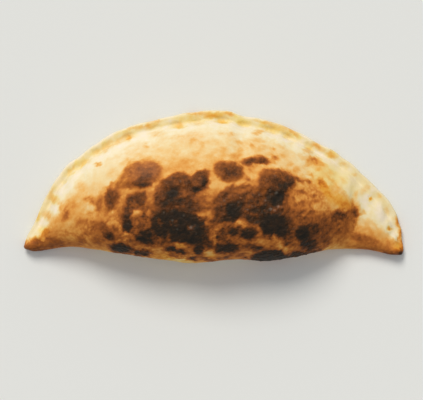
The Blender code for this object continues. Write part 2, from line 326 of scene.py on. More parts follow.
# The large scorched heart of the crust, left half.
SCORCH_MIDDLE = (
    Blot(((-48, -2), (-44, 3), (-38, 8), (-32, 11), (-27, 11.5), (-23, 9), (-20, 9),
          (-15, 12), (-9, 14), (-5.5, 13), (-4.5, 8), (-7, 2), (-11, -4), (-15, -7),
          (-12.5, -12), (-8, -14.5), (-3, -15), (-2, -18), (-10, -18.5), (-16, -21),
          (-14, -24), (-7, -26), (-6.5, -31), (-6, -38), (-5, -44), (-10, -47),
          (-22, -46), (-30, -45), (-38, -47), (-48, -46), (-51, -40), (-50, -30),
          (-50, -20), (-50, -10)), BROWN, soft=2.4, ragged=2.2),
    Blot(((-42, 4), (-36, 8), (-29, 10), (-24, 8), (-20, 6), (-22, 1), (-30, -1),
          (-40, -1)), BROWN, soft=2, rise=1.6),
    Oval(-33, 5, 16, 6, UMBER, turn=16, soft=2.6),
    Blot(((-20, 7), (-15, 10.5), (-9, 12.5), (-6.5, 9), (-8, 2), (-15, -2), (-21, 1)),
         BROWN, soft=1.8, rise=1.6),
    Oval(-12.5, 7, 9, 8, UMBER, turn=40, soft=2.6),
    Oval(-33, 2, 10, 4, UMBER, turn=20, soft=2),
    Oval(-22, 3, 7, 5, UMBER, turn=-20, soft=2),
    Blot(((-16, 0), (-9, 5), (-6.5, 6), (-8, 0), (-14, -4), (-20, -3)), UMBER, soft=1.8),
    Oval(-16.5, -1.5, 9, 4.4, CHAR, turn=28, soft=1.6),
    Oval(-9, 3.5, 4, 6, SCORCHED, turn=-30, soft=1.6),
    Blot(((-48, -8), (-43, 0), (-34, 2), (-26, 0), (-17, -5), (-16, -14), (-28, -20),
          (-49, -20)), UMBER, soft=3, ragged=2.6),
    Oval(-36, -6, 9, 7, CHAR, turn=40, soft=3, ragged=2),
    Oval(-30, -12, 12, 5, SCORCHED, turn=20, soft=2.2, ragged=2),
    Oval(-41, -13, 8, 5, SCORCHED, turn=30, soft=2),
    Oval(-46, -5, 6, 8, BROWN, turn=30, soft=2.4),
    Oval(-25, -6, 7, 4, BROWN, turn=24, soft=1.8),
    Oval(-30, -17, 9, 3, BROWN, turn=6, soft=1.8),
    Oval(-20, -14.5, 11, 10, UMBER, turn=-20, soft=2.6),
    Blot(((-51, -20), (-42, -18.5), (-30, -18), (-19, -19), (-13, -25), (-8.5, -27),
          (-7.5, -34), (-6, -42), (-12, -46), (-24, -45), (-36, -45), (-48, -42),
          (-51, -34)), SCORCHED, soft=2.6, ragged=2.4),
    Blot(((-48, -24), (-40, -21), (-28, -20), (-20, -23), (-13, -27.5), (-11, -34),
          (-10, -41), (-20, -43), (-34, -42), (-46, -37)), CHAR, soft=3, ragged=2.4),
    Oval(-19.5, -33.5, 8, 6, UMBER, turn=-20, soft=2.2),
    Oval(-34, -28.5, 7, 4, UMBER, turn=20, soft=1.8),
    Oval(-20, -43, 24, 6, CHAR, turn=-4, soft=2.2),
    Oval(-8, -45, 10, 5, SCORCHED, turn=-30, soft=2),
    Oval(-38, -40, 3.6, 9, BROWN, turn=4, soft=1.8),
    Oval(-45, -43, 8, 5, UMBER, turn=-6, soft=2),
    Oval(-46, -30, 6, 7, UMBER, turn=20, soft=1.8),
    Oval(-13, -24.5, 7, 3, UMBER, turn=-40, soft=1.4),
    Blot(((-14, -5), (-6, -2), (2, -2.5), (-2, -9), (-6, -12), (-12, -11)), ORANGE,
         soft=2.4, ragged=2.4),
    Oval(-12, -8, 9, 5, RUSSET, turn=20, soft=2, ragged=2),
    Oval(-4, -4, 8, 3, TAN, turn=10, soft=1.8),
    Oval(-8, -12, 12, 3, BROWN, turn=-14),
    Blot(((-17, -20), (-9, -18.5), (-1, -20), (-2, -24), (-9, -23.5), (-14, -23)), AMBER,
         soft=1.1, ragged=1),
    Oval(-7, -21, 9, 2.4, TAN, turn=6, soft=1.2),
    Oval(-15, -17.5, 8, 4, UMBER, turn=-14, soft=1.6),
    Oval(-21, -18, 8, 4, SCORCHED, turn=-10, soft=2),
    Oval(-5, -28.5, 6, 6, ORANGE, soft=1.5),
    Oval(-2, -35, 6, 9, RUSSET, turn=10, soft=1.8),
    Oval(-35, -51, 8, 5.5, SCORCHED),
    Oval(-28, -48, 9, 4.5, TAN, turn=-15, soft=1.2),
    Oval(-28, -53, 8, 3.6, SCORCHED, turn=4, soft=1.1),
    Oval(-20, -48, 5, 4, RUSSET),
    Oval(-12.5, -50, 8, 8, SCORCHED, soft=1.5),
    Oval(-44, -54.5, 16, 5, TAN, turn=-4, soft=1.5),
    Oval(-34, -58.5, 14, 3.4, STRAW, turn=-6, soft=1.2),
    Oval(-17, -57.5, 6, 2.6, UMBER, soft=1),
    Oval(-31, -56, 9, 3.4, RUSSET, turn=-8, soft=1.6),
    Oval(-6, -58.5, 15, 2.8, BROWN, turn=-16, soft=1.1),
    Oval(-4, -54, 8, 5, GOLDEN, turn=-20, soft=1.5),
    Oval(-48, -50, 10, 4, ORANGE, soft=1.6),
    Oval(-16, 3.4, 6.4, 5.4, UMBER, turn=20, soft=1.8),
    Oval(-38, -11.4, 10, 3.6, SCORCHED, turn=24, soft=1.8),
    Oval(-51, 0.2, 10, 3.2, TAN, turn=55, soft=1.4),
    Oval(-50, -30, 5, 11, SCORCHED, turn=4, soft=2),
    Oval(-60, -25.6, 8, 4.4, BROWN, turn=-10, soft=1.5),
    Oval(-58.6, -23.6, 4, 3, UMBER, turn=30, soft=1),
    Oval(-61, -17.2, 8, 2.4, BROWN, turn=-8, soft=1.2),
    Oval(-84, -29, 6, 8, TAN, turn=-20, soft=2),
    Oval(-135.5, -26, 4, 6, GOLDEN, turn=-20, soft=1.6),
    Oval(-70, -42, 6, 4.4, RUSSET, turn=10, soft=1.8),
    Blot(((-97, -51.4), (-86, -53), (-76, -55.2), (-66, -56.8), (-56, -58), (-47, -58.6),
          (-38, -59), (-30, -58.6), (-20, -59.4), (-12, -61), (-4, -63), (-4, -76),
          (-60, -74), (-97, -62)), STRAW, soft=0.9, ragged=0.6),
    Oval(-28, -59.5, 9, 3.6, PALE, turn=-4, soft=1.4),
)

# The large scorched heart of the crust, right half.
SCORCH_RIGHT = (
    Blot(((-1, 13), (-1, 20), (6, 24), (16, 22), (24, 17), (24, 9), (14, 4), (6, 6)),
         TAN, soft=2.2),
    Blot(((-1, 13.6), (0.8, 18), (5, 20.4), (11, 20.4), (16, 18.8), (20.5, 16),
          (22.2, 12.5), (21, 8.5), (17, 6.2), (12, 5.6), (5, 7.4), (1, 10)), BROWN, soft=2.2,
         ragged=1, rise=1.8),
    Oval(11.5, 13, 14, 9, UMBER, turn=-14, soft=3.6, ragged=1),
    Oval(3, 18.5, 4, 3, RUSSET, turn=30, soft=2, ragged=1),
    Oval(-3, 8, 5, 6, TAN, turn=-20, soft=2.2),
    Oval(30.5, 22, 18, 6, ORANGE, turn=4, soft=1.8),
    Blot(((22.4, 20.4), (24, 22), (29, 24.5), (35, 25.2), (39, 24), (40.6, 22), (39, 20.6),
          (34, 20), (27, 19.6)), BROWN, soft=1.8, ragged=0.6, rise=1.2),
    Oval(29.5, 17.6, 6, 2.6, TAN, turn=10, soft=1.4),
    Oval(36, 21.5, 9, 4.6, UMBER, soft=2),
    Oval(27.5, 21, 6, 3, UMBER, soft=1.6),
    Oval(26.5, 7, 6, 3, RUSSET, turn=-16, soft=1.3),
    Blot(((34, 12.5), (42, 15), (54, 17), (64, 13), (70, 7), (68, -2), (34, -2),
          (31, 4)), TAN, soft=2),
    Blot(((36, 12), (39, 14.5), (44, 14.5), (50, 15), (56, 13), (60, 11), (65, 8),
          (64, 3), (60, -1), (50, -4), (36, -1), (34, 2), (34.5, 6)), BROWN, soft=2.2,
         rise=1.8),
    Oval(43, 11, 12, 5, RUSSET, turn=-6, soft=2.4),
    Oval(48, 6, 16, 7, UMBER, turn=-4, soft=3),
    Oval(59, 5, 9, 10, UMBER, turn=20, soft=2.4),
    Oval(55, 1.5, 12, 6, SCORCHED, turn=24, soft=2),
    Blot(((-1.5, -8), (3, -3), (10, 0), (15, 1.5), (22, 2.5), (27, 2.5), (30, 1), (36, 1),
          (48, -1), (58, -1), (58.5, -8), (60.5, -16), (61.5, -24), (61, -38),
          (56, -39), (50, -39), (45, -41.5), (39, -37), (37, -31), (33, -27),
          (26, -25.5), (20.5, -25.5), (16, -28.5), (8, -29), (2, -28), (-1, -21),
          (-3.5, -14)), BROWN, soft=2.4, ragged=2.2),
    Blot(((24, -4), (36, -2), (40, -8), (46, -15), (58, -16), (60, -24), (42, -28),
          (32, -24), (20, -20), (16, -10)), UMBER, soft=3, ragged=3),
    Oval(34, -25, 12, 7, UMBER, turn=-30, soft=2.4),
    Oval(21, -2, 22, 3.4, RUSSET, turn=2, soft=2),
    Oval(9, -5, 9, 4, UMBER, turn=20, soft=2),
    Oval(40, -20, 12, 16, SCORCHED, turn=-20, soft=3.4),
    Oval(5, -8, 10, 8, UMBER, turn=30, soft=2.2),
    Oval(13, -19.5, 21, 13, SCORCHED, turn=46, soft=3, ragged=2),
    Oval(12.5, -19, 19, 12, CHAR, turn=38, soft=3),
    Oval(5, -20, 8, 14, UMBER, turn=-10, soft=2.4),
    Oval(8, -25.5, 10, 4, SCORCHED, turn=16, soft=1.8),
    Oval(26, -7, 12, 6, BROWN, turn=-8, soft=2.4, ragged=2.2),
    Oval(27, -14, 14, 6, UMBER, turn=10, soft=2, ragged=2.4),
    Oval(35, -19, 14, 6, SCORCHED, turn=-10, soft=2.2),
    Oval(29, -21, 8, 4, BROWN, turn=-10, soft=1.6),
    Blot(((41, 0), (50, 1), (58, 2), (58, -6), (55, -12), (48, -15), (41, -12),
          (40, -6)), SCORCHED, soft=2.2, ragged=2),
    Oval(51, -7, 12, 9, CHAR, turn=50, soft=2.4),
    Oval(37, -9, 6, 8, UMBER, turn=30, soft=1.8),
    Oval(57, -12, 4, 16, BROWN, soft=1.8),
    Blot(((35, -25), (46, -21), (56, -20), (60, -27), (60, -36), (57, -42), (51, -40),
          (45, -41.5), (39, -36)), SCORCHED, soft=2.6, ragged=2),
    Oval(48.5, -29.5, 21, 17, CHAR, turn=-20, soft=2.6),
    Oval(48, -18, 12, 4.4, UMBER, turn=20, soft=1.6),
    Oval(63, -33, 6, 20, UMBER, soft=2.2),
    Oval(62, -10, 4, 14, ORANGE, turn=6, soft=1.8),
    Blot(((-1, -29), (8, -28), (14, -30), (30, -30), (36, -33), (35, -41), (22, -42),
          (12, -43), (3, -44), (-1, -38)), BROWN, soft=2, ragged=2.4),
    Blot(((16, -29.5), (20, -26.5), (24, -27), (27, -28.5), (27, -31.5), (20, -32),
          (14, -32), (13, -31)), ORANGE, soft=1.6, ragged=1.8),
    Oval(20.5, -28.5, 5, 3.4, TAN, turn=-20, soft=1.2),
    Oval(15, -31, 5, 2.4, AMBER, turn=20, soft=1.2),
    Oval(23.5, -31, 5, 2.4, AMBER, turn=20, soft=1.2),
    Oval(33.5, -31.5, 4, 5, RUSSET, turn=-50, soft=1.6),
    Oval(29.5, -24.5, 11, 5, SCORCHED, turn=-24, soft=2),
    Oval(-1, -34, 6, 6, BROWN, turn=10, soft=1.8),
    Oval(0, -26, 9, 4, UMBER, turn=30, soft=1.4),
    Oval(3.5, -31.5, 8, 3.6, RUSSET, turn=30, soft=1.6, ragged=2),
    Oval(6, -36, 6, 5, UMBER, turn=30, soft=1.4),
    Blot(((22, -35), (28, -32.5), (33, -33), (35, -36), (31, -40.5), (25, -41),
          (21, -38)), SCORCHED, soft=1.8),
    Oval(28, -37, 8, 5, CHAR, soft=2),
    Oval(15, -36, 7, 6, SCORCHED, turn=-10, soft=1.8),
    Oval(4, -40.5, 8, 4, UMBER, turn=-20, soft=1.5),
    Oval(8, -42, 8, 3.4, UMBER, turn=8, soft=1.6),
    Oval(18, -42, 8, 2.2, RUSSET, turn=4, soft=1.2),
    Oval(25, -43.5, 12, 2.4, ORANGE, turn=-6, soft=1.2),
    Blot(((1, -45), (6, -45), (12, -44.5), (19, -46), (19, -50), (12, -52), (5, -52.5),
          (1, -50)), SCORCHED, soft=1.8),
    Oval(8, -49, 10, 4, CHAR, turn=-6, soft=2),
    Oval(0.5, -42, 2.4, 8, AMBER, turn=12, soft=1.2),
    Oval(26, -47, 12, 4, UMBER, turn=6, soft=1.6),
    Oval(34, -48, 8, 4, SCORCHED, turn=-10, soft=1.6),
    Oval(42, -50, 9, 2.6, BROWN, turn=-4, soft=1.4),
    Oval(36, -43, 6, 6, AMBER, turn=-30, soft=1.6),
    Oval(41.5, -41.5, 5, 3.4, BROWN, turn=-30, soft=1.4),
    Oval(48.5, -39.5, 4, 7, AMBER, turn=14, soft=1.4),
    Oval(52.5, -44, 5, 5, AMBER, turn=-20, soft=1.5),
    Oval(55, -46, 4, 2.6, TAN, turn=-30, soft=1.2),
    Oval(43, -44.5, 10, 3.4, ORANGE, turn=-14, soft=1.6),
    Oval(47, -47.5, 9, 2.4, RUSSET, turn=-10, soft=1.2),
    Oval(58, -44, 4.4, 4.4, UMBER, soft=1.4),
    Blot(((29, -55), (35, -52.5), (41, -51.5), (46, -50.5), (52, -51.5), (56, -53),
          (62, -54.5), (60, -59), (54, -60), (50, -63.5), (42, -62), (37, -64),
          (31, -60)), CHAR, soft=1.8, ragged=2.4),
    Oval(36, -60.5, 6, 3.6, BROWN, turn=-20, soft=1.6),
    Oval(57, -61.5, 8, 4, RUSSET, turn=10, soft=1.8),
    Oval(46, -64.5, 16, 3, UMBER, turn=8, soft=2, ragged=2.4),
    Oval(15, -56, 22, 4, TAN, turn=2, soft=1.5),
    Oval(13, -54.5, 4, 2.6, BROWN, turn=30, soft=1),
    Oval(25, -56, 4, 2.4, BROWN, turn=-30, soft=1),
    Oval(4, -57.5, 5, 2, BROWN, turn=10, soft=1),
    Oval(15.5, -58.5, 5, 2, RUSSET, turn=-10, soft=1),
    Oval(9, -56, 4, 2.5, UMBER, soft=0.9),
    Oval(19, -54, 5, 2, BROWN, turn=10, soft=0.9),
    Oval(22, -58, 6, 2, RUSSET, soft=0.9),
    Oval(57.5, -51.5, 4, 2.6, AMBER, turn=-20, soft=0.9),
    Blot(((59, -57), (60, -54), (64, -50.5), (74, -51), (86, -49), (84, -53), (70, -60)),
         SCORCHED, soft=1.4),
    Blot(((64, -36), (66.5, -29), (74, -29), (79, -27), (85, -28), (86, -34), (82, -40),
          (84, -46), (76, -50), (70, -46), (65, -42)), UMBER, soft=1.8),
    Oval(71, -36, 11, 12, CHAR, soft=2),
    Oval(82, -31, 7, 7, SCORCHED, soft=1.6),
    Oval(77, -44.5, 12, 7, SCORCHED, turn=20, soft=1.8),
    Oval(61, -36, 4, 10, UMBER, soft=1.6),
    Oval(60.5, -43.5, 5, 4, UMBER, soft=1.3),
    Oval(68, -24, 12, 7, BROWN, turn=-10, soft=2),
    Oval(78, -24, 12, 4, BROWN, turn=10, soft=1.8),
    Oval(78, -19, 8, 3, BROWN, turn=14, soft=1.6),
    Oval(66, -45.5, 6, 4, RUSSET, soft=1.6),
    Oval(37.5, 18, 12, 2.6, GOLDEN, turn=-4, soft=1.2),
    Oval(29.5, 11.5, 4, 7, GOLDEN, turn=-14, soft=1.6),
    Oval(64, -7, 3, 2.4, UMBER, turn=20, soft=1),
    Oval(67, -12.5, 3, 2, BROWN, turn=-30, soft=0.9),
    Oval(63.5, -18, 3, 3, UMBER, turn=40, soft=1),
    Oval(9, 24, 12, 3.2, STRAW, turn=-6, soft=1.8),
    Oval(20, -54.4, 12, 3.4, RUSSET, turn=4, soft=1.6),
)

# Marks of the right end of the dome and the right horn.
RIGHT_MARKS = (
    Oval(67, 7, 8, 4, RUSSET, turn=-14, soft=1.5),
    Oval(75, 6, 6, 3.6, ORANGE, soft=1.5),
    Oval(65, -2, 10, 3.2, ORANGE, turn=-8, soft=1.5),
    Oval(65.5, -5.2, 6, 3, AMBER, turn=10, soft=1.4),
    Oval(71, 2.5, 10, 4, GOLDEN, turn=-10, soft=1.8),
    Oval(84, 6, 10, 6, GOLDEN, turn=-20, soft=2.4),
    Oval(79, -5, 4, 3.4, RUSSET, soft=1.2),
    Oval(74, -13, 11, 6, ORANGE, turn=-20, soft=1.8, ragged=2.4),
    Oval(71, -11, 4, 3, RUSSET, turn=20, soft=1.3),
    Oval(77, -15, 4, 2.6, RUSSET, turn=-30, soft=1.2),
    Oval(65, -14, 3.6, 3, RUSSET, soft=1.2),
    Oval(70, -2.5, 5, 2.6, RUSSET, turn=-10, soft=1.2),
    Oval(83, -9, 4, 2.6, AMBER, turn=30, soft=1.2),
    Oval(68, -16, 9, 4, ORANGE, turn=20, soft=1.5, ragged=2),
    Oval(67, -19, 14, 4, BROWN, turn=6, soft=2, ragged=2.4),
    Oval(84, -14, 12, 6, TAN, turn=-10, soft=2),
    Oval(69, -8, 9, 5, TAN, soft=1.6),
    Blot(((86, -25), (93, -22), (98, -18), (104, -17.5), (109, -15), (113, -15),
          (116, -20), (115, -26), (110, -31), (106, -35), (98, -38), (90, -40),
          (84, -36)), BROWN, soft=3.8, ragged=2.4),
    Oval(102, -22, 12, 6, UMBER, turn=-16, soft=3),
    Oval(114, -19, 3.4, 8, UMBER, turn=-4, soft=1.6),
    Oval(110, -22, 6, 8, RUSSET, turn=-10, soft=2),
    Oval(92, -28, 8, 7, BROWN, turn=-40, soft=2.6),
    Oval(88, -21, 8, 3, RUSSET, turn=-30, soft=1.6),
    Oval(98, -30, 4, 12, RUSSET, turn=-24, soft=1.8),
    Oval(105, -30, 5, 12, RUSSET, turn=-16, soft=2),
    Oval(111.5, -29, 5, 14, ORANGE, turn=-6, soft=1.8),
    Oval(101, -40, 12, 5, ORANGE, turn=-30, soft=2.2),
    Oval(113, -38, 15, 6, RUSSET, turn=-8, soft=2.4),
    Oval(90, -42, 8, 8, BROWN, turn=30, soft=2.4),
    Oval(104, -46, 20, 3, TAN, turn=-2, soft=1.8),
    Blot(((114, -30), (117, -24), (124, -24.5), (132, -27.4), (140, -35), (147, -42),
          (150, -47), (130, -46), (112, -42)), GOLDEN, soft=2.6, ragged=2),
    Blot(((108, -36), (116, -34.5), (124, -36), (132, -39), (140, -42), (148, -46),
          (150, -52), (128, -52), (106, -46)), AMBER, soft=3, ragged=2),
    Oval(118, -31.5, 7, 6, TAN, turn=-20, soft=2.4),
    Oval(121, -40, 17, 7, RUSSET, turn=-14, soft=2.8),
    Oval(129, -35, 12, 4, TAN, turn=-30, soft=2),
    Oval(136, -38, 9, 3, GOLDEN, turn=-30, soft=1.8),
    Oval(141, -42, 9, 4, AMBER, turn=-30, soft=2),
    Oval(134, -44.5, 18, 6, ORANGE, turn=-14, soft=2.4),
    Oval(128, -47.5, 22, 3.4, RUSSET, turn=-6, soft=1.8),
    Oval(119, -28, 4, 12, STRAW, turn=10, soft=1.8),
    Oval(128, -30, 4, 9, STRAW, turn=34, soft=1.8),
    Oval(87.5, 4, 4.6, 11, AMBER, turn=30, soft=1.6),
    Oval(86, 5, 3, 5, ORANGE, turn=20, soft=1.4),
    Oval(92, -3, 4, 10, TAN, turn=40, soft=1.6),
    Oval(100, -10, 14, 5, TAN, turn=-34, soft=2),
    Oval(108, -12, 9, 5, AMBER, turn=-24, soft=1.8),
    # Painted shade along the crease between the dome and the right horn.
    Oval(113, -5, 2.6, 9, GOLDEN, turn=-30, soft=1.3),
    Oval(111.8, -11, 2.4, 6, ORANGE, turn=-8, soft=1.2),
    Oval(128.5, 1, 9, 3, FLOURY, turn=-35, soft=1.6),
    Oval(109.5, 5, 7, 17, FLOURY, turn=-24, soft=2.6),
    Oval(112.5, 13, 10, 6, CREAM, turn=-40, soft=2.2),
    Oval(122, -8, 8, 17, FLOURY, turn=14, soft=2.6),
    Oval(134, -18, 9, 17, FLOURY, turn=24, soft=2.6),
    Oval(144, -27, 5, 12, FLOURY, turn=16, soft=1.8),
    Oval(98, 23, 15, 5.4, FLOURY, turn=-32, soft=2),
    Oval(86, 29, 13, 3.6, FLOURY, turn=-28, soft=1.8),
    Oval(146, -36.5, 6, 4, FLOURY, turn=-20, soft=1.6),
    Oval(146, -24, 4, 7, PALE, turn=20, soft=1.6),
    Oval(149, -27, 3, 10, AMBER, turn=10, soft=1.3),
    Oval(151.6, -42, 3.2, 8, AMBER, turn=6, soft=1.3),
    Oval(150.6, -35.5, 3, 8, AMBER, turn=8, soft=1.3),
    Oval(139, -16, 3, 7, STRAW, turn=20, soft=1.4),
    Oval(133, -4, 4, 3, STRAW, turn=-40, soft=1.3),
    Oval(124, 3, 5, 2.6, STRAW, turn=-50, soft=1.2),
    Oval(113, 13, 4, 3, STRAW, turn=-40, soft=1.3),
    Oval(146, -43, 10, 4, TAN, turn=-36, soft=1.6),
    Oval(150, -47, 8, 4, GOLDEN, turn=-26, soft=1.4),
    Blot(((138, -49.6), (146, -49.2), (151, -48.4), (160, -50), (160, -64), (140, -60)),
         BROWN, soft=1.5),
    Oval(153, -51.8, 7, 4.4, SCORCHED, turn=-10, soft=1.4),
    Blot(((75, -58.4), (79, -55.6), (82, -53.2), (86, -50.4), (91, -47.5), (98, -46.5),
          (105, -47.6), (112, -48.6), (116, -60), (70, -70)), GOLDEN, soft=1.1,
         ragged=0.6),
    # Painted shade in the two finger dimples of the right horn.
    Oval(126, -6.5, 2.8, 2.8, TAN, soft=0.8, ragged=0.3),
    Oval(142.3, -30.6, 3.8, 2.6, TAN, turn=-20, soft=0.9, ragged=0.4),
    # Painted shade in the same crease.
    Oval(114.5, -4, 3, 9, STRAW, turn=-14, soft=1.5),
    Oval(120, -17, 4, 5, GOLDEN, turn=20, soft=1.4),
    Oval(124.5, -33, 13, 4.4, TAN, turn=-16, soft=2.4),
    Oval(114.5, -37.5, 14, 4.4, RUSSET, turn=-12, soft=2.4),
    Oval(120.5, 0.5, 5, 9, STRAW, turn=-30, soft=2.2),
    Oval(110.5, -1, 6, 10, CREAM, turn=-24, soft=2),
    Oval(88, 20, 6, 4, STRAW, turn=-30, soft=1.8),
    Oval(104, 20.5, 6, 3.4, STRAW, turn=-20, soft=1.6),
)

# Freckles and faint clouds on the pale back slope.
FRECKLES = (
    Oval(-57, 33, 4.5, 3, GOLDEN, soft=1.4),
    Oval(-23, 21.5, 6, 3.6, TAN, soft=1.5),
    Oval(-21, 17, 7, 3.4, TAN, soft=1.6),
    Oval(-20, 38, 8, 5, GOLDEN, turn=10, soft=2),
    Oval(-14, 43, 16, 4, STRAW, turn=-6, soft=2),
    Oval(-27, 41, 14, 7, STRAW, turn=8, soft=2.6),
    Oval(-5, 36, 9, 4, STRAW, turn=-20, soft=2.2),
    Oval(-46, 28, 12, 6, STRAW, turn=20, soft=3),
    Oval(-62, 27, 8, 4, STRAW, turn=20, soft=2.4),
    Oval(-12, 35, 4, 5, GOLDEN, soft=1.8),
    Oval(-5, 27, 8, 3, GOLDEN, turn=30, soft=1.8),
    Oval(-36, 26, 7, 4, STRAW, soft=2),
    Oval(-34, 16, 12, 6, TAN, turn=14, soft=3),
    Oval(-12, 17, 8, 4, GOLDEN, soft=2),
    Oval(-56, 24, 9, 3, GOLDEN, soft=2),
    Oval(-45, 44, 9, 4, PALE, soft=2),
    Oval(-50, 42, 9, 4, STRAW, turn=14, soft=2.4),
    Oval(13, 43.5, 8, 2.6, GOLDEN, turn=-6, soft=1.2),
    Oval(4, 44, 7, 2.4, STRAW, soft=1.3),
    Oval(20, 37, 7, 4, GOLDEN, turn=-8, soft=2),
    Oval(20.5, 42, 9, 3.6, CREAM, turn=-6, soft=1.8),
    Oval(29.5, 34.5, 4.4, 4, TAN, soft=1.5),
    Oval(38, 33.5, 6, 3, GOLDEN, soft=1.5),
    Oval(46.5, 32, 3.6, 2.6, TAN, soft=1.2),
    Oval(34, 46, 9, 3.6, GOLDEN, turn=10, soft=1.3),
    Oval(16.5, 26.5, 9, 5.4, TAN, turn=20, soft=2),
    Oval(5, 31, 8, 4, GOLDEN, turn=-10, soft=2.2),
    Oval(43, 28, 8, 3.4, GOLDEN, turn=-10, soft=1.8),
    Oval(35, 39, 9, 3.4, GOLDEN, turn=-8, soft=2),
    Oval(54, 33, 8, 3, STRAW, turn=-20, soft=1.6),
    Oval(19, 31, 5, 5, GOLDEN, soft=1.6),
    Oval(47.5, 24.5, 7, 5, ORANGE, turn=10, soft=1.8),
    Oval(65, 17, 5, 4, GOLDEN, soft=1.6),
    Oval(74, 20, 5, 4, GOLDEN, turn=30, soft=1.6),
    Oval(70, 26, 6, 3, STRAW, turn=-30, soft=1.6),
    Oval(54, 27, 5, 3, GOLDEN, soft=1.6),
    Oval(60, 36, 8, 3, PALE, turn=-10, soft=1.6),
    Oval(65, 15, 5, 4, TAN, soft=1.8),
    Oval(79.5, 23.5, 12, 7, AMBER, turn=-24, soft=2.8),
    Oval(74, 31, 9, 5, GOLDEN, turn=-24, soft=2.2),
    Oval(94, 14, 5, 4, STRAW, soft=1.6),
    Oval(28, 15, 9, 5, TAN, turn=10, soft=2.4),
    Oval(88, 12, 7, 3.4, STRAW, turn=-30, soft=1.8),
    Oval(94, 8, 8, 3.4, GOLDEN, turn=-40, soft=1.8),
    Oval(99, 2, 9, 4, GOLDEN, turn=-40, soft=2),
    Oval(83, 16, 5, 3, GOLDEN, turn=20, soft=1.5),
    Oval(103, 8, 6, 3, STRAW, turn=-40, soft=1.6),
    Oval(105, -4, 8, 3, GOLDEN, turn=-44, soft=1.6),
    Oval(95.5, 0.5, 8, 4, GOLDEN, turn=-40, soft=1.6),
    Oval(77, 12, 5, 3, TAN, turn=-10, soft=1.4),
    Oval(70, 12, 6, 3, GOLDEN, turn=10, soft=1.5),
    Oval(60, 20, 5, 4, GOLDEN, turn=30, soft=1.6),
)

# Tones of the crimped rim: golden flats and the paler and darker places between.
# The darker ovals on the finger pits paint the shade in the pits.
RIM_MARKS = (
    Oval(-134, -6, 4, 10, STRAW, turn=-30, soft=1.6),
    Oval(-117, 14, 9, 2.6, STRAW, turn=50, soft=1.4),
    Oval(-106.5, 19.5, 8, 4, PALE, turn=30, soft=2),
    Oval(-97, 28, 9, 5, PALE, turn=32, soft=2),
    Oval(-96, 28, 4, 3, STRAW, turn=32, soft=1.6),
    Oval(-87, 34, 14, 4, PALE, turn=34, soft=2),
    Oval(-72, 41.5, 8, 4.4, PALE, turn=16, soft=1.8),
    Oval(-70.5, 40.5, 3.6, 2.6, GOLDEN, soft=1.3),
    Oval(-56, 48.5, 16, 3.6, STRAW, turn=14, soft=2),
    Oval(-31, 50.5, 12, 4.4, PALE, turn=-2, soft=2),
    Oval(-31, 50.3, 7, 2.4, STRAW, turn=-2, soft=1.4),
    Oval(-21, 56.5, 12, 3.4, PALE, turn=4, soft=1.6),
    Oval(-18, 60.6, 20, 2.4, GOLDEN, turn=3, soft=1.2),
    Oval(-30, 55, 10, 2.6, CREAM, turn=6, soft=1.4),
    Oval(-49, 48, 8, 2.6, CREAM, turn=14, soft=1.4),
    Oval(11, 60, 12, 2.4, GOLDEN, turn=-8, soft=1.2),
    Oval(61, 47.4, 9, 2.4, GOLDEN, turn=-28, soft=1.2),
    Oval(-80, 37, 12, 4, STRAW, turn=30, soft=1.8),
    Oval(-90.5, 29.5, 7, 3, STRAW, turn=34, soft=1.6),
    Oval(-60, 49.4, 14, 2.8, GOLDEN, turn=16, soft=1.3),
    Oval(50, 48.9, 14, 2.6, STRAW, turn=-20, soft=1.3),
    Oval(-50, 53.4, 14, 2.6, STRAW, turn=10, soft=1.2),
    Oval(-68, 47.6, 12, 2.6, STRAW, turn=22, soft=1.2),
    Oval(-14, 53, 14, 4, PALE, turn=4, soft=1.6),
    Oval(-3, 59, 18, 3.6, GOLDEN, turn=2, soft=1.6),
    Oval(5, 54.8, 9, 4.4, PALE, turn=-8, soft=1.8),
    Oval(5, 54.6, 6, 2.4, STRAW, turn=-8, soft=1.4),
    Oval(23, 53, 13, 4, PALE, turn=-6, soft=1.6),
    Oval(39, 53.8, 14, 2.8, GOLDEN, turn=-10, soft=1.4),
    Oval(44, 48.5, 8, 3, PALE, turn=-24, soft=1.5),
    Oval(58, 44, 8, 4.4, PALE, turn=-26, soft=1.6),
    Oval(53, 50.6, 16, 2.6, STRAW, turn=-18, soft=1.2),
    Oval(63, 45, 8, 3, GOLDEN, turn=-34, soft=1.4),
    Oval(82, 35, 12, 5, GOLDEN, turn=-26, soft=1.8),
    Oval(93.5, 28.5, 8, 5.4, GOLDEN, turn=-30, soft=2),
)

# Dents that the fingers left where they pinched the rim down, with their depth in mm.
PINCHES = (
    (Oval(-117, 11, 8, 4, turn=48, soft=1.5), 0.7),
    (Oval(-97, 27.5, 7, 3.6, turn=32, soft=1.5), 0.7),
    (Oval(-89, 32, 6, 4, turn=30, soft=1.5), 0.6),
    (Oval(-70.5, 40.2, 7, 4, turn=22, soft=1.6), 1.0),
    (Oval(-48, 47.5, 6, 3, turn=14, soft=1.3), 0.8),
    (Oval(-31, 49.8, 11, 4, turn=-4, soft=1.8), 1.2),
    (Oval(-14, 51.5, 8, 4, turn=2, soft=1.5), 1.0),
    (Oval(5, 54.2, 9, 4.4, turn=-6, soft=1.8), 1.4),
    (Oval(23, 51.5, 9, 4, turn=-6, soft=1.5), 1.0),
    (Oval(44, 47.6, 9, 3.4, turn=-20, soft=1.6), 1.2),
    (Oval(58, 42, 7, 4, turn=-28, soft=1.4), 1.0),
    (Oval(76, 34, 7, 4, turn=-30, soft=1.5), 0.7),
    (Oval(113.5, -1, 5, 12, turn=-16, soft=3), 0.2),
    (Oval(113.5, -16, 4, 22, turn=6, soft=2.6), 1.3),
    (Oval(126, -6.5, 3, 3, soft=0.9), 0.4),
    (Oval(142, -32, 4, 3, turn=-20, soft=1), 0.5),
    (Oval(139, -16, 4, 8, turn=20, soft=1.6), 0.5),
    (Oval(133, -3, 5, 4, turn=-40, soft=1.4), 0.2),
    (Oval(-144, -46, 8, 3.6, turn=6, soft=1.2), 1.0),
)

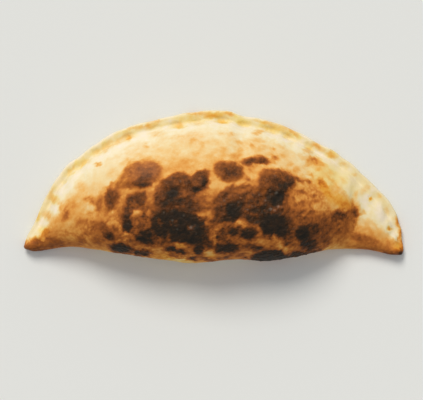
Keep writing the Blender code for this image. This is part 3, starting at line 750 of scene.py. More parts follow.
# Where the crust glows golden yellow, with how strong the glow is.
GILDED = (
    (Oval(90, -1, 8, 22, turn=34, soft=2.5), 1.0),
    (Oval(102, -9, 22, 11, turn=-34, soft=3), 0.9),
    (Oval(90, 11, 30, 22, turn=-30, soft=6), 0.65),
    (Blot(((110, 8), (124, 6), (138, -6), (149, -22), (152, -40), (140, -34),
           (118, -24), (112, -6)), soft=3), 0.12),
    (Oval(150, -46.5, 10, 6, turn=-30, soft=2), 1.0),
    (Oval(150.5, -32, 3, 24, turn=7, soft=1.4), 0.45),
    # Yellow tint of the painted shade in the two dimples of the right horn.
    (Oval(126, -6.5, 4, 4, soft=1), 1.0),
    (Oval(142.2, -30.6, 5, 4, soft=1.2), 0.8),
    (Oval(107, 5, 14, 26, turn=30, soft=5), 0.5),
    (Oval(94, 29, 9, 7, soft=2), 0.8),
    (Oval(-117, 14, 12, 3.6, turn=50, soft=1.8), 0.5),
    (Oval(-97, 28, 12, 6, turn=32, soft=2.4), 0.8),
    (Oval(-84, 36, 20, 5, turn=32, soft=2), 0.6),
    (Oval(-131.5, -11, 8, 9, soft=2), 0.6),
    (Oval(-144.5, -26, 5, 9, turn=-25, soft=1.6), 0.8),
    (Oval(-139, -37, 8, 9, soft=2.4), 0.8),
    (Oval(-143, -43, 12, 5, turn=20, soft=2), 0.6),
    (Oval(-136, -12, 7, 34, turn=-30, soft=3), 0.4),
    (Oval(-40, -57, 24, 6, turn=-6, soft=2), 0.7),
    (Oval(-26, -60, 14, 5, soft=2), 0.7),
    (Oval(-3, -57, 8, 7, soft=2), 0.8),
    # In these four finger pits the glow also tints their painted shade olive.
    (Oval(-71, 41, 11, 5, turn=20, soft=2), 0.9),
    (Oval(-31, 50.1, 11, 3.4, soft=1.4), 0.9),
    (Oval(5, 55, 11, 5, soft=2), 0.9),
    (Oval(44, 48.6, 10, 4, turn=-20, soft=2), 0.8),
    (Oval(-28, -48, 6, 4, soft=1.5), 0.7),
    (Oval(8, 58, 30, 8, turn=-6, soft=3), 0.4),
)

# Where loose flour still dulls the crust, with how thick it lies.
FLOURED = (
    (Oval(-70, 34, 84, 20, turn=26, soft=8), 0.65),
    (Oval(-22, 44, 50, 12, turn=2, soft=5), 0.6),
    (Oval(18, 45, 40, 10, turn=-8, soft=5), 0.45),
    (Oval(-116, 4, 24, 16, turn=50, soft=6), 0.2),
)

# Painted sheen and highlights: a grey bloom where the window mirrors in the scorched
# crust, with how strong each is.
PAINTED_SHEEN = (
    (Oval(-56, 13, 24, 13, turn=10, soft=5), 0.03),
    (Oval(-18, -33.5, 6, 3.6, turn=24, soft=2), 0.018),
    (Oval(47, -18.5, 9, 5, turn=10, soft=2), 0.008),
)

# Small burst blisters of the scorched skin: x, y and width in mm. Each is raised,
# and gets a painted highlight on its side toward the window.
BEADS = (
    (49.6, -5.0, 3.0), (41.0, -11.0, 2.6), (44.0, -3.0, 2.4), (51.5, -15.8, 3.2),
    (45.5, -18.0, 3.4), (48.5, -18.8, 3.0), (54.0, -16.0, 2.2), (36.0, -6.5, 2.2),
    (30.5, -15.5, 2.2), (27.0, -18.5, 2.4), (33.0, -16.0, 2.0), (21.0, -9.0, 2.4),
    (19.5, -12.5, 2.2), (8.0, -11.5, 2.6), (6.0, -15.5, 2.2), (10.0, -9.5, 2.0),
    (-33.0, -28.0, 2.6), (-18.0, -33.5, 3.6), (-24.0, -24.0, 2.2), (-40.0, -22.0, 2.2),
    (-29.0, -35.0, 2.2), (-14.0, -38.0, 2.2), (-27.0, 3.0, 2.4), (-22.0, 0.5, 2.0),
    (-34.0, 6.0, 2.2), (-38.0, 1.0, 2.0), (-12.0, 5.0, 2.2), (-60.0, 9.0, 2.4),
    (-55.0, 13.0, 2.0), (-67.0, 11.0, 2.2), (48.0, 8.0, 2.2), (41.0, 5.0, 2.0),
)


def linear(code: str) -> tuple[float, float, float, float]:
    """Turn an sRGB hex colour into linear light.

    Args:
        code: Colour as "#RRGGBB".

    Returns:
        Linear red, green, blue and an alpha of 1.
    """
    parts = [int(code[start:start + 2], 16) / 255 for start in (1, 3, 5)]
    light = [part / 12.92 if part <= 0.04045 else ((part + 0.055) / 1.055) ** 2.4
             for part in parts]
    return (light[0], light[1], light[2], 1.0)


def risen(values: np.ndarray, start: float, end: float) -> np.ndarray:
    """Smooth step of an array.

    Args:
        values: The array.
        start: Value at which the step is 0.
        end: Value at which the step is 1, above or below the start.

    Returns:
        The steps, 0 to 1.
    """
    share = np.clip((values - start) / (end - start), 0.0, 1.0)
    return share * share * (3.0 - 2.0 * share)


def add_node(tree: bpy.types.NodeTree, kind: str, settings: dict | None = None,
             links: dict | None = None) -> bpy.types.Node:
    """Add a shader node, set it up and link it.

    Args:
        tree: Node tree that gets the node.
        kind: Blender's name of the node type.
        settings: Values by property or input name.
        links: Output sockets by the input name or number that they feed.

    Returns:
        The new node.
    """
    node = tree.nodes.new(kind)
    for name, value in (settings or {}).items():
        if isinstance(name, str) and hasattr(node, name):
            setattr(node, name, value)
        else:
            node.inputs[name].default_value = value
    for name, socket in (links or {}).items():
        tree.links.new(socket, node.inputs[name])
    return node


def only(piece: bpy.types.Object) -> None:
    """Make a piece the only selected and the active object."""
    bpy.ops.object.select_all(action="DESELECT")
    piece.select_set(True)
    bpy.context.view_layer.objects.active = piece


def vertex_places(piece: bpy.types.Object) -> np.ndarray:
    """Places of a piece's vertices in mm, one row each."""
    flat = np.empty(len(piece.data.vertices) * 3, dtype=np.float32)
    piece.data.vertices.foreach_get("co", flat)
    return flat.reshape(-1, 3).astype(np.float64) / MM


def cover(mark: Mark, places: np.ndarray, wander: np.ndarray) -> np.ndarray:
    """How far a mark covers each place, with its ragged edge.

    Args:
        mark: The oval or the blot.
        places: Places in mm, one row each.
        wander: How far the edges wander at each place, about -1 to 1.

    Returns:
        Share of each place that is covered, 0 to 1.
    """
    outside = mark.outside(places) + mark.ragged * wander
    return risen(outside, mark.soft, -mark.soft)


@dataclass(frozen=True)
class Grain:
    """One smooth random field over the crust.

    Attributes:
        size: Distance from one swell to the next, in mm.
        seed: Offset that picks another field.
        octaves: How many finer fields are added, each of half the size.
    """

    size: float
    seed: float
    octaves: int = 3

    def over(self, places: np.ndarray) -> np.ndarray:
        """Values of the field over the crust.

        Args:
            places: Places in mm, one row each.

        Returns:
            One value for each place, about -1 to 1.
        """
        shift = Vector([part * self.seed for part in SHIFT])
        return np.array([
            noise.fractal(Vector(place) / self.size + shift, FADING, FINER, self.octaves)
            for place in places])


@dataclass(frozen=True)
class Slope:
    """A value that follows the browning evenly, from a start to an end.

    Attributes:
        start: Browning at which it has its first value.
        end: Browning at which it has its last value.
        first: Its first value.
        last: Its last value.
    """

    start: float
    end: float
    first: float
    last: float

    def settings(self) -> dict[str, float]:
        """Settings of the Map Range node that gives the value."""
        return {"From Min": self.start, "From Max": self.end, "To Min": self.first,
                "To Max": self.last}


@dataclass(frozen=True)
class CrustFinish:
    """Crust of wheat dough, baked dry on a stone in a very hot oven.

    It is matt and dusty where it is pale, speckled gold and brown where it is baked,
    and rough with a faint glaze where it is scorched.

    Attributes:
        browning: Colours by how far a place is baked, 0 to 1.
        gilding: What the oily, egg-yellow glow of the rim does to the colour.
        flour_and_sheen_colour: What loose flour and the painted sheen and highlights do
        to the colour.
        speckle: Distance between the finest specks of browning, in mm.
        pore: Distance between the pores of the dry skin, in mm. Real ones are about
            half as wide, which is too fine to show.
        pore_depth: Depth of a pore, in mm.
        blister: Distance between the tiny blisters of the scorched skin, in mm.
        lump: Distance between the lumps that the heat raised in it, in mm.
        lump_height: Height of a lump, in mm.
        specks: How strong the specks are.
        hollows: How much lighter the tops of the blisters are than their hollows, partly
        their lighter browning and partly painted highlight and shade.
        pits: How deep the pores look.
        swells: How high the blisters and lumps look.
        glaze: How much of them is left where the glaze of the charcoal fills them.
        roughness: Roughness of the skin, lower where it is glazed.
        speck_grain: Detail and roughness of the specks.
        pore_grain: Detail and roughness of the pores.
        lump_grain: Detail and roughness of the lumps.
        beading: How much of the blisters' pattern is added to the lumps, less than 0
            because it is lowest in the middle of a blister.
        refraction: Index of refraction of dry dough.
        gloss: How much the skin mirrors at a right angle.
    """

    browning: tuple[tuple[float, str], ...] = (
        (0.00, "#EDE0CA"),
        (0.10, "#E9DBB3"),
        (0.17, "#E7CF9B"),
        (0.24, "#E6C284"),
        (0.32, "#E2AE62"),
        (0.40, "#DA9848"),
        (0.47, "#CA8037"),
        (0.53, "#B66D2D"),
        (0.60, "#9E5A25"),
        (0.68, "#80481F"),
        (0.76, "#5C361B"),
        (0.86, "#3A291A"),
        (0.94, "#2D241B"),
        (1.00, "#211E18"),
    )
    gilding: str = "#FFF1AE"
    flour_and_sheen_colour: str = "#F2EAD8"
    speckle: float = 2.2
    pore: float = 0.9
    pore_depth: float = 0.5
    blister: float = 3.4
    lump: float = 3.2
    lump_height: float = 2.4
    specks: Slope = Slope(0.1, 0.45, 0.05, 0.10)
    hollows: Slope = Slope(0.58, 0.8, 0.0, 0.11)
    pits: Slope = Slope(0.3, 0.85, 0.15, 0.5)
    swells: Slope = Slope(0.5, 0.78, 0.0, 0.85)
    glaze: Slope = Slope(0.84, 0.98, 1.0, 0.35)
    roughness: Slope = Slope(0.4, 1.0, 0.7, 0.5)
    speck_grain: tuple[float, float] = (3.0, 0.6)
    pore_grain: tuple[float, float] = (2.0, 0.55)
    lump_grain: tuple[float, float] = (2.0, 0.5)
    beading: float = -0.5
    refraction: float = 1.45
    gloss: float = 0.12

    def material(self) -> bpy.types.Material:
        """Build the node material of the crust.

        Returns:
            The material, which follows the crust's three attributes.
        """
        material = bpy.data.materials.new("baked_wheat_dough")
        material.use_nodes = True
        tree = material.node_tree
        tree.nodes.clear()
        place = add_node(tree, "ShaderNodeTexCoord").outputs["Object"]
        baked, gilt, flour_and_sheen = (
            add_node(tree, "ShaderNodeAttribute", {"attribute_name": name}).outputs["Fac"]
            for name in ("baked", "gilt", "flour_and_sheen"))
        beads = add_node(tree, "ShaderNodeTexVoronoi", {
            "Scale": 1.0 / (self.blister * MM), "feature": "SMOOTH_F1"},
            {"Vector": place}).outputs["Distance"]
        heat = self.speckled(tree, place, beads, baked)
        colour = self.coloured(tree, heat)
        # The gilt tints the colour yellow; the flour layer mixes in loose flour and the
        # painted sheen and highlights.
        for way, share, over in (("MULTIPLY", gilt, self.gilding),
                                 ("MIX", flour_and_sheen, self.flour_and_sheen_colour)):
            colour = add_node(tree, "ShaderNodeMixRGB", {
                "blend_type": way, "Color2": linear(over)},
                {"Fac": share, "Color1": colour}).outputs["Color"]
        skin = self.skin(tree, place, beads, heat)
        rough = add_node(tree, "ShaderNodeMapRange", self.roughness.settings(),
                         {"Value": heat})
        shader = add_node(tree, "ShaderNodeBsdfPrincipled", {
            "IOR": self.refraction, "Specular IOR Level": self.gloss},
            {"Base Color": colour, "Roughness": rough.outputs["Result"], "Normal": skin})
        add_node(tree, "ShaderNodeOutputMaterial", None, {"Surface": shader.outputs["BSDF"]})
        return material

    def speckled(self, tree: bpy.types.NodeTree, place: bpy.types.NodeSocket,
                 beads: bpy.types.NodeSocket,
                 baked: bpy.types.NodeSocket) -> bpy.types.NodeSocket:
        """Give the browning its finest specks and hollows, too small for the mesh.

        The lighter tops and darker hollows of the tiny blisters are partly their browning
        and partly painted highlight and shade.

        Args:
            tree: Node tree of the crust.
            place: Places on the crust.
            beads: Pattern of the tiny blisters.
            baked: Browning of the mesh.

        Returns:
            The speckled browning.
        """
        detail, rough = self.speck_grain
        specks = add_node(tree, "ShaderNodeTexNoise", {
            "Scale": 1.0 / (self.speckle * MM), "Detail": detail, "Roughness": rough},
            {"Vector": place}).outputs["Fac"]
        heat = baked
        for pattern, slope in ((specks, self.specks), (beads, self.hollows)):
            centred = add_node(tree, "ShaderNodeMath", {
                "operation": "SUBTRACT", 1: PATTERN_MIDDLE}, {0: pattern})
            share = add_node(tree, "ShaderNodeMapRange", slope.settings(), {"Value": baked})
            heat = add_node(tree, "ShaderNodeMath", {"operation": "MULTIPLY_ADD"}, {
                0: centred.outputs[0], 1: share.outputs["Result"], 2: heat}).outputs[0]
        return heat

    def coloured(self, tree: bpy.types.NodeTree,
                 heat: bpy.types.NodeSocket) -> bpy.types.NodeSocket:
        """Colour of the crust from its browning.

        Args:
            tree: Node tree of the crust.
            heat: The speckled browning.

        Returns:
            The colour.
        """
        ramp = add_node(tree, "ShaderNodeValToRGB", None, {"Fac": heat})
        stops = ramp.color_ramp.elements
        for index, (place, code) in enumerate(self.browning):
            stop = stops[index] if index < 2 else stops.new(place)
            stop.position = place
            stop.color = linear(code)
        return ramp.outputs["Color"]

    def skin(self, tree: bpy.types.NodeTree, place: bpy.types.NodeSocket,
             beads: bpy.types.NodeSocket,
             heat: bpy.types.NodeSocket) -> bpy.types.NodeSocket:
        """Bumps of the dry skin, rougher where it is scorched.

        Args:
            tree: Node tree of the crust.
            place: Places on the crust.
            beads: Pattern of the tiny blisters.
            heat: The speckled browning.

        Returns:
            The bumped normal of the skin.
        """
        pores, lumps = (
            add_node(tree, "ShaderNodeTexNoise", {
                "Scale": 1.0 / (size * MM), "Detail": detail, "Roughness": rough},
                {"Vector": place}).outputs["Fac"]
            for size, (detail, rough) in ((self.pore, self.pore_grain),
                                          (self.lump, self.lump_grain)))
        pits, swells, glaze = (
            add_node(tree, "ShaderNodeMapRange", slope.settings(),
                     {"Value": heat}).outputs["Result"]
            for slope in (self.pits, self.swells, self.glaze))
        pitted = add_node(tree, "ShaderNodeBump", {"Distance": self.pore_depth * MM},
                          {"Height": pores, "Strength": pits})
        both = add_node(tree, "ShaderNodeMath", {
            "operation": "MULTIPLY_ADD", 1: self.beading}, {0: beads, 2: lumps})
        strength = add_node(tree, "ShaderNodeMath", {"operation": "MULTIPLY"},
                            {0: swells, 1: glaze})
        return add_node(tree, "ShaderNodeBump", {"Distance": self.lump_height * MM},
                        {"Height": both.outputs[0],
                         "Strength": strength.outputs[0],
                         "Normal": pitted.outputs["Normal"]}).outputs["Normal"]


@dataclass(frozen=True)
class Rim:
    """Pinched rim of the calzone: where it runs, and how it is baked and gilded.

    Where a field has two values, the effect grows from none at the first place to all
    of it at the second. Places are in mm.

    Attributes:
        middle: Middle of the arc that the rim follows.
        width: How far the pinched rim reaches inward.
        widening: How much farther it reaches on the left.
        widens: Along X, where it widens.
        ripple: How far its inner edge swings in and out.
        ripples: The swings of its inner edge.
        crumpled: How far the edges of its browning are crumpled.
        gilt_crumpled: How far the edges of its glow are crumpled.
        flats: The paler and darker flats along it.
        glows: The stronger and weaker places of its glow.
        tone: Browning of the rim.
        paler: How much paler its left end is.
        patchy: How strongly the flats show.
        mottled: How strongly the fine grain shows.
        dusted: How much browner the floury foot is than flour.
        lit: How much browner the painted highlight on the outer edge is than flour.
        unlit: How much of that painted highlight the right part lacks.
        inner: Past its inner edge, where the rim's browning sets in.
        foot: Past its inner edge, where the floury foot sets in.
        outer: In from the outline, where the painted highlight on the outer edge sets in.
        begins: Along Y, where the rim begins.
        right_end: Along X, where it begins on the right.
        left_end: Along X, where its left end begins.
        dull: Along X, where that painted highlight fades.
        gilt_inner: Past its inner edge, where the glow sets in.
        gilt_outer: In from the outline, where the glow sets in.
        gilt_begins: Along Y, where the glow begins.
        gilt_right: Along X, where the glow fades.
        faded_right: How much of the glow the right part lacks.
        faded_left: How much of the glow the left end lacks.
        glow: Mean, swing, least and most of the glow.
    """

    middle: tuple[float, float] = (1.2, -101.6)
    width: float = 8.0
    widening: float = 1.6
    widens: tuple[float, float] = (-20.0, -60.0)
    ripple: float = 2.2
    ripples: Grain = Grain(9.0, 27.3)
    crumpled: float = 0.9
    gilt_crumpled: float = 0.5
    flats: Grain = Grain(11.0, 51.4)
    glows: Grain = Grain(8.0, 71.5)
    tone: float = 0.06
    paler: float = 0.03
    patchy: float = 0.08
    mottled: float = 0.03
    dusted: float = 0.02
    lit: float = 0.03
    unlit: float = 0.7
    inner: tuple[float, float] = (1.2, -1.8)
    foot: tuple[float, float] = (9.0, 1.0)
    outer: tuple[float, float] = (2.0, 0.4)
    begins: tuple[float, float] = (-20.0, 0.0)
    right_end: tuple[float, float] = (118.0, 88.0)
    left_end: tuple[float, float] = (-116.0, -128.0)
    dull: tuple[float, float] = (-34.0, -22.0)
    gilt_inner: tuple[float, float] = (0.5, -1.5)
    gilt_outer: tuple[float, float] = (0.8, 2.2)
    gilt_begins: tuple[float, float] = (-30.0, -5.0)
    gilt_right: tuple[float, float] = (58.0, 94.0)
    faded_right: float = 0.6
    faded_left: float = 0.5
    glow: tuple[float, float, float, float] = (0.68, 0.6, 0.15, 1.0)

    def inward(self, places: np.ndarray) -> np.ndarray:
        """Distance of each place inward from the outline of the rim.

        Args:
            places: Places on the crust in mm, one row each.

        Returns:
            The distances in mm.
        """
        right = places[:, 0] - self.middle[0]
        back = places[:, 1] - self.middle[1]
        turn = np.degrees(np.arctan2(back, right))
        reach = np.hypot(back, right)
        outline = np.zeros(HALF_TURN + 1)
        sector = np.clip(turn.astype(int), 0, HALF_TURN)
        np.maximum.at(outline, sector, reach)
        return np.interp(turn, np.arange(HALF_TURN + 1) + 0.5, outline) - reach

    def baked(self, baked: np.ndarray, places: np.ndarray, fine: np.ndarray) -> np.ndarray:
        """Bake the pinched rim, with a painted highlight along its outer edge and the floury
        foot inside it.

        Args:
            baked: Browning of each place.
            places: Places on the crust in mm, one row each.
            fine: The fine grain at each place.

        Returns:
            Browning of each place, with the rim.
        """
        x, y = places[:, 0], places[:, 1]
        inward = self.inward(places) + self.crumpled * fine
        inward -= self.widening * risen(x, *self.widens)
        past = inward - self.width
        band = risen(past - self.ripple * self.ripples.over(places), *self.inner)
        foot = risen(past, *self.foot) * (1.0 - band)
        # Painted highlight along the rim's outer edge, weaker on the right.
        edge = risen(inward, *self.outer) * (1.0 - self.unlit * risen(x, *self.dull))
        here = risen(y, *self.begins) * risen(x, *self.right_end)
        tone = self.tone - self.paler * risen(x, *self.left_end)
        tone = tone + self.patchy * self.flats.over(places) + self.mottled * fine
        for goal, share in ((FLOURY.value + self.dusted, foot), (tone, band),
                            (FLOURY.value + self.lit, edge)):
            baked = baked + (goal - baked) * share * here
        return baked

    def gilt(self, places: np.ndarray, fine: np.ndarray) -> np.ndarray:
        """Golden glow along the rim.

        Args:
            places: Places on the crust in mm, one row each.
            fine: The fine grain at each place.

        Returns:
            The glow of each place, 0 to 1.
        """
        x, y = places[:, 0], places[:, 1]
        inward = self.inward(places) + self.gilt_crumpled * fine
        past = inward - self.width - self.ripple * self.ripples.over(places)
        band = risen(past, *self.gilt_inner) * risen(inward, *self.gilt_outer)
        here = risen(y, *self.gilt_begins)
        here *= 1.0 - self.faded_right * risen(x, *self.gilt_right)
        here *= 1.0 - self.faded_left * risen(x, *self.left_end)
        mean, swing, least, most = self.glow
        return band * here * np.clip(mean + swing * self.glows.over(places), least, most)


@dataclass(frozen=True)
class Fold:
    """Round fold side of the calzone, which is steep and partly hidden from above.

    Attributes:
        eye: Height of the eye for which the marks are placed, in mm.
        drift: How far to the right and front of their marks the places show, in mm.
        shoulder: Height of the widest place of the side at mid length, in mm.
        half_length: Length from the middle to where the side lies down, in mm.
        steep: Along Y, from where to where the side turns steep, in mm.
        front: Along Y, from where to where the foot turns pale, in mm.
        tips: Along X, from where to where the foot loses the brown of the tips, in mm.
        foot: Height of the pale foot at the tips, and how much higher it is at mid
            length, in mm.
        fading: Over its top, between which heights the pale foot fades in, in mm.
        swing: How far the top of the foot swings up and down, in mm.
        swings: The swings of the top of the foot.
        ragged: How ragged the top of the foot is, in mm.
        tone: Most browning that the foot takes.
        mottled: How strongly the fine grain shows in it.
        strength: How much of the browning above that most is taken away.
    """

    eye: float = 3200.0
    drift: float = 0.9
    shoulder: float = 15.0
    half_length: float = 150.0
    steep: tuple[float, float] = (-38.0, -46.0)
    front: tuple[float, float] = (-30.0, -36.0)
    tips: tuple[float, float] = (128.0, 116.0)
    foot: tuple[float, float] = (3.0, 7.0)
    fading: tuple[float, float] = (1.5, -7.5)
    swing: float = 5.0
    swings: Grain = Grain(15.0, 38.2)
    ragged: float = 3.5
    tone: float = 0.35
    mottled: float = 0.06
    strength: float = 0.85

    def fullness(self, places: np.ndarray) -> np.ndarray:
        """How full the side is along its length, 1 in the middle and 0 at the tips."""
        return 1.0 - np.clip(np.abs(places[:, 0]) / self.half_length, 0.0, 1.0) ** 2

    def unrolled(self, places: np.ndarray) -> np.ndarray:
        """Places as the eye sees them from above, with the steep side rolled out.

        Args:
            places: Places on the crust in mm, one row each.

        Returns:
            Places in the frame of the tables of marks, in mm.
        """
        seen = places.copy()
        seen[:, :2] *= 1.0 + places[:, 2:] / self.eye
        seen[:, 0] -= self.drift
        seen[:, 1] += self.drift
        under = np.clip(self.shoulder * self.fullness(places) - places[:, 2], 0.0, None)
        seen[:, 1] -= under * risen(places[:, 1], *self.steep)
        return seen

    def pale_foot(self, baked: np.ndarray, places: np.ndarray,
                  fine: np.ndarray) -> np.ndarray:
        """Keep the foot of the side pale, where it curls under and sees no flame.

        Args:
            baked: Browning of each place.
            places: Places on the crust in mm, one row each.
            fine: The fine grain at each place.

        Returns:
            Browning of each place, with the foot.
        """
        lowest, higher = self.foot
        top = lowest + higher * self.fullness(places)
        top += self.swing * self.swings.over(places) + self.ragged * fine
        share = risen(places[:, 2] - top, *self.fading)
        share *= risen(places[:, 1], *self.front)
        share *= risen(np.abs(places[:, 0]), *self.tips)
        pale = self.tone + self.mottled * fine
        return baked + (np.minimum(baked, pale) - baked) * share * self.strength


@dataclass(frozen=True)
class Mottling:
    """Specks, streaks and clouds that break up the browning.

    Strengths are shares of the whole range of browning. Where a field has two values,
    the effect grows from none at the first to all of it at the second.

    Attributes:
        broad: Wide swells of the browning.
        fine: Small swells of the browning.
        crumb: Crumbs of the browning.
        streak: Streaks along the stretch of the dough.
        cloud: Clouds on the back slope.
        speck: Specks at both ends of the dome.
        slant: Direction that the dough was stretched in, in degrees to +X.
        squeeze: How much longer its streaks are than wide, as a divisor.
        brown: Browning between which the mottling grows stronger.
        black: Browning between which it grows weaker again.
        weaker: How much weaker it is there.
        fine_strength: Strength of the fine grain, and how much the brown adds.
        crumb_strength: Strength of the crumb, and how much the brown adds.
        broad_strength: Strength of the broad grain.
        cloud_strength: Strength of the clouds.
        speck_strength: Strength of the specks.
        streak_strength: Strength of the streaks on brown places, and on the front.
        back: Along Y, where the clouds set in, in mm.
        front: Along Y, where the front sets in, in mm.
        front_ends: Along X, where the front sets in, in mm.
        dome_middle: Middle of the dome along X, in mm.
        dome_ends: Out from that middle, where the specks set in, in mm.
        horns: Along X, where the horns have no more of them, in mm.
        calm: Along X and along Y, where the specks of the right front grow weak, in mm.
        calmer: How much weaker they are there.
    """

    broad: Grain = Grain(9.0, 3.1)
    fine: Grain = Grain(3.2, 8.7)
    crumb: Grain = Grain(1.7, 5.3, octaves=2)
    streak: Grain = Grain(3.4, 17.3)
    cloud: Grain = Grain(5.5, 61.3)
    speck: Grain = Grain(2.8, 83.1)
    slant: float = 38.0
    squeeze: float = 0.6
    brown: tuple[float, float] = (0.15, 0.55)
    black: tuple[float, float] = (0.82, 0.94)
    weaker: float = 0.7
    fine_strength: tuple[float, float] = (0.032, 0.025)
    crumb_strength: tuple[float, float] = (0.015, 0.025)
    broad_strength: float = 0.035
    cloud_strength: float = 0.05
    speck_strength: float = 0.09
    streak_strength: tuple[float, float] = (0.05, 0.07)
    back: tuple[float, float] = (10.0, 22.0)
    front: tuple[float, float] = (-24.0, -36.0)
    front_ends: tuple[float, float] = (92.0, 76.0)
    dome_middle: float = -16.0
    dome_ends: tuple[float, float] = (76.0, 88.0)
    horns: tuple[float, float] = (114.0, 104.0)
    calm: tuple[tuple[float, float], tuple[float, float]] = ((70.0, 84.0), (-16.0, -24.0))
    calmer: float = 0.7

    def slanted(self, places: np.ndarray) -> np.ndarray:
        """Squeeze places along the slant that the dough was stretched in.

        Args:
            places: Places on the crust in mm, one row each.

        Returns:
            The squeezed places.
        """
        turn = math.radians(self.slant)
        along = places[:, 0] * math.cos(turn) + places[:, 1] * math.sin(turn)
        across = places[:, 1] * math.cos(turn) - places[:, 0] * math.sin(turn)
        return np.stack([along * self.squeeze, across, places[:, 2]], axis=1)

    def over(self, baked: np.ndarray, places: np.ndarray, bent: np.ndarray,
             fine: np.ndarray) -> np.ndarray:
        """Mottle the browning.

        Args:
            baked: Browning of each place.
            places: Places on the crust in mm, one row each.
            bent: The same places in the frame of the tables of marks.
            fine: The fine grain at each place.

        Returns:
            The mottled browning of each place.
        """
        x, y = bent[:, 0], bent[:, 1]
        slanted = self.slanted(places)
        share = risen(baked, *self.brown) * (1.0 - self.weaker * risen(baked, *self.black))
        for grain, (strength, more) in ((fine, self.fine_strength),
                                        (self.crumb.over(places), self.crumb_strength)):
            baked = baked + (strength + more * share) * grain
        baked = baked + self.broad_strength * self.broad.over(places)
        clouds = risen(y, *self.back) * self.cloud.over(places)
        ends = risen(np.abs(x - self.dome_middle), *self.dome_ends)
        ends *= risen(np.abs(x), *self.horns)
        ends *= 1.0 - self.calmer * risen(x, *self.calm[0]) * risen(y, *self.calm[1])
        specks = ends * share * self.speck.over(slanted)
        front = risen(y, *self.front) * risen(np.abs(x), *self.front_ends)
        brown, fore = self.streak_strength
        streaks = (brown * share + fore * front) * self.streak.over(slanted)
        return baked + self.cloud_strength * clouds + self.speck_strength * specks + streaks


class Clouds(Enum):
    """Kinds of cloudy pattern that can displace the skin."""

    SOFT = "IMPROVED_PERLIN"
    EVEN = "ORIGINAL_PERLIN"
    CELLS = "VORONOI_F1"


@dataclass(frozen=True)
class Wrinkle:
    """One cloudy pattern that displaces the skin.

    Attributes:
        name: Name of the pattern.
        group: Vertex group that weighs it.
        clouds: Kind of its clouds.
        size: Distance between swells, in mm.
        height: Height from hollow to swell, in mm, less than 0 to turn it inside out.
    """

    name: str
    group: str
    clouds: Clouds
    size: float
    height: float


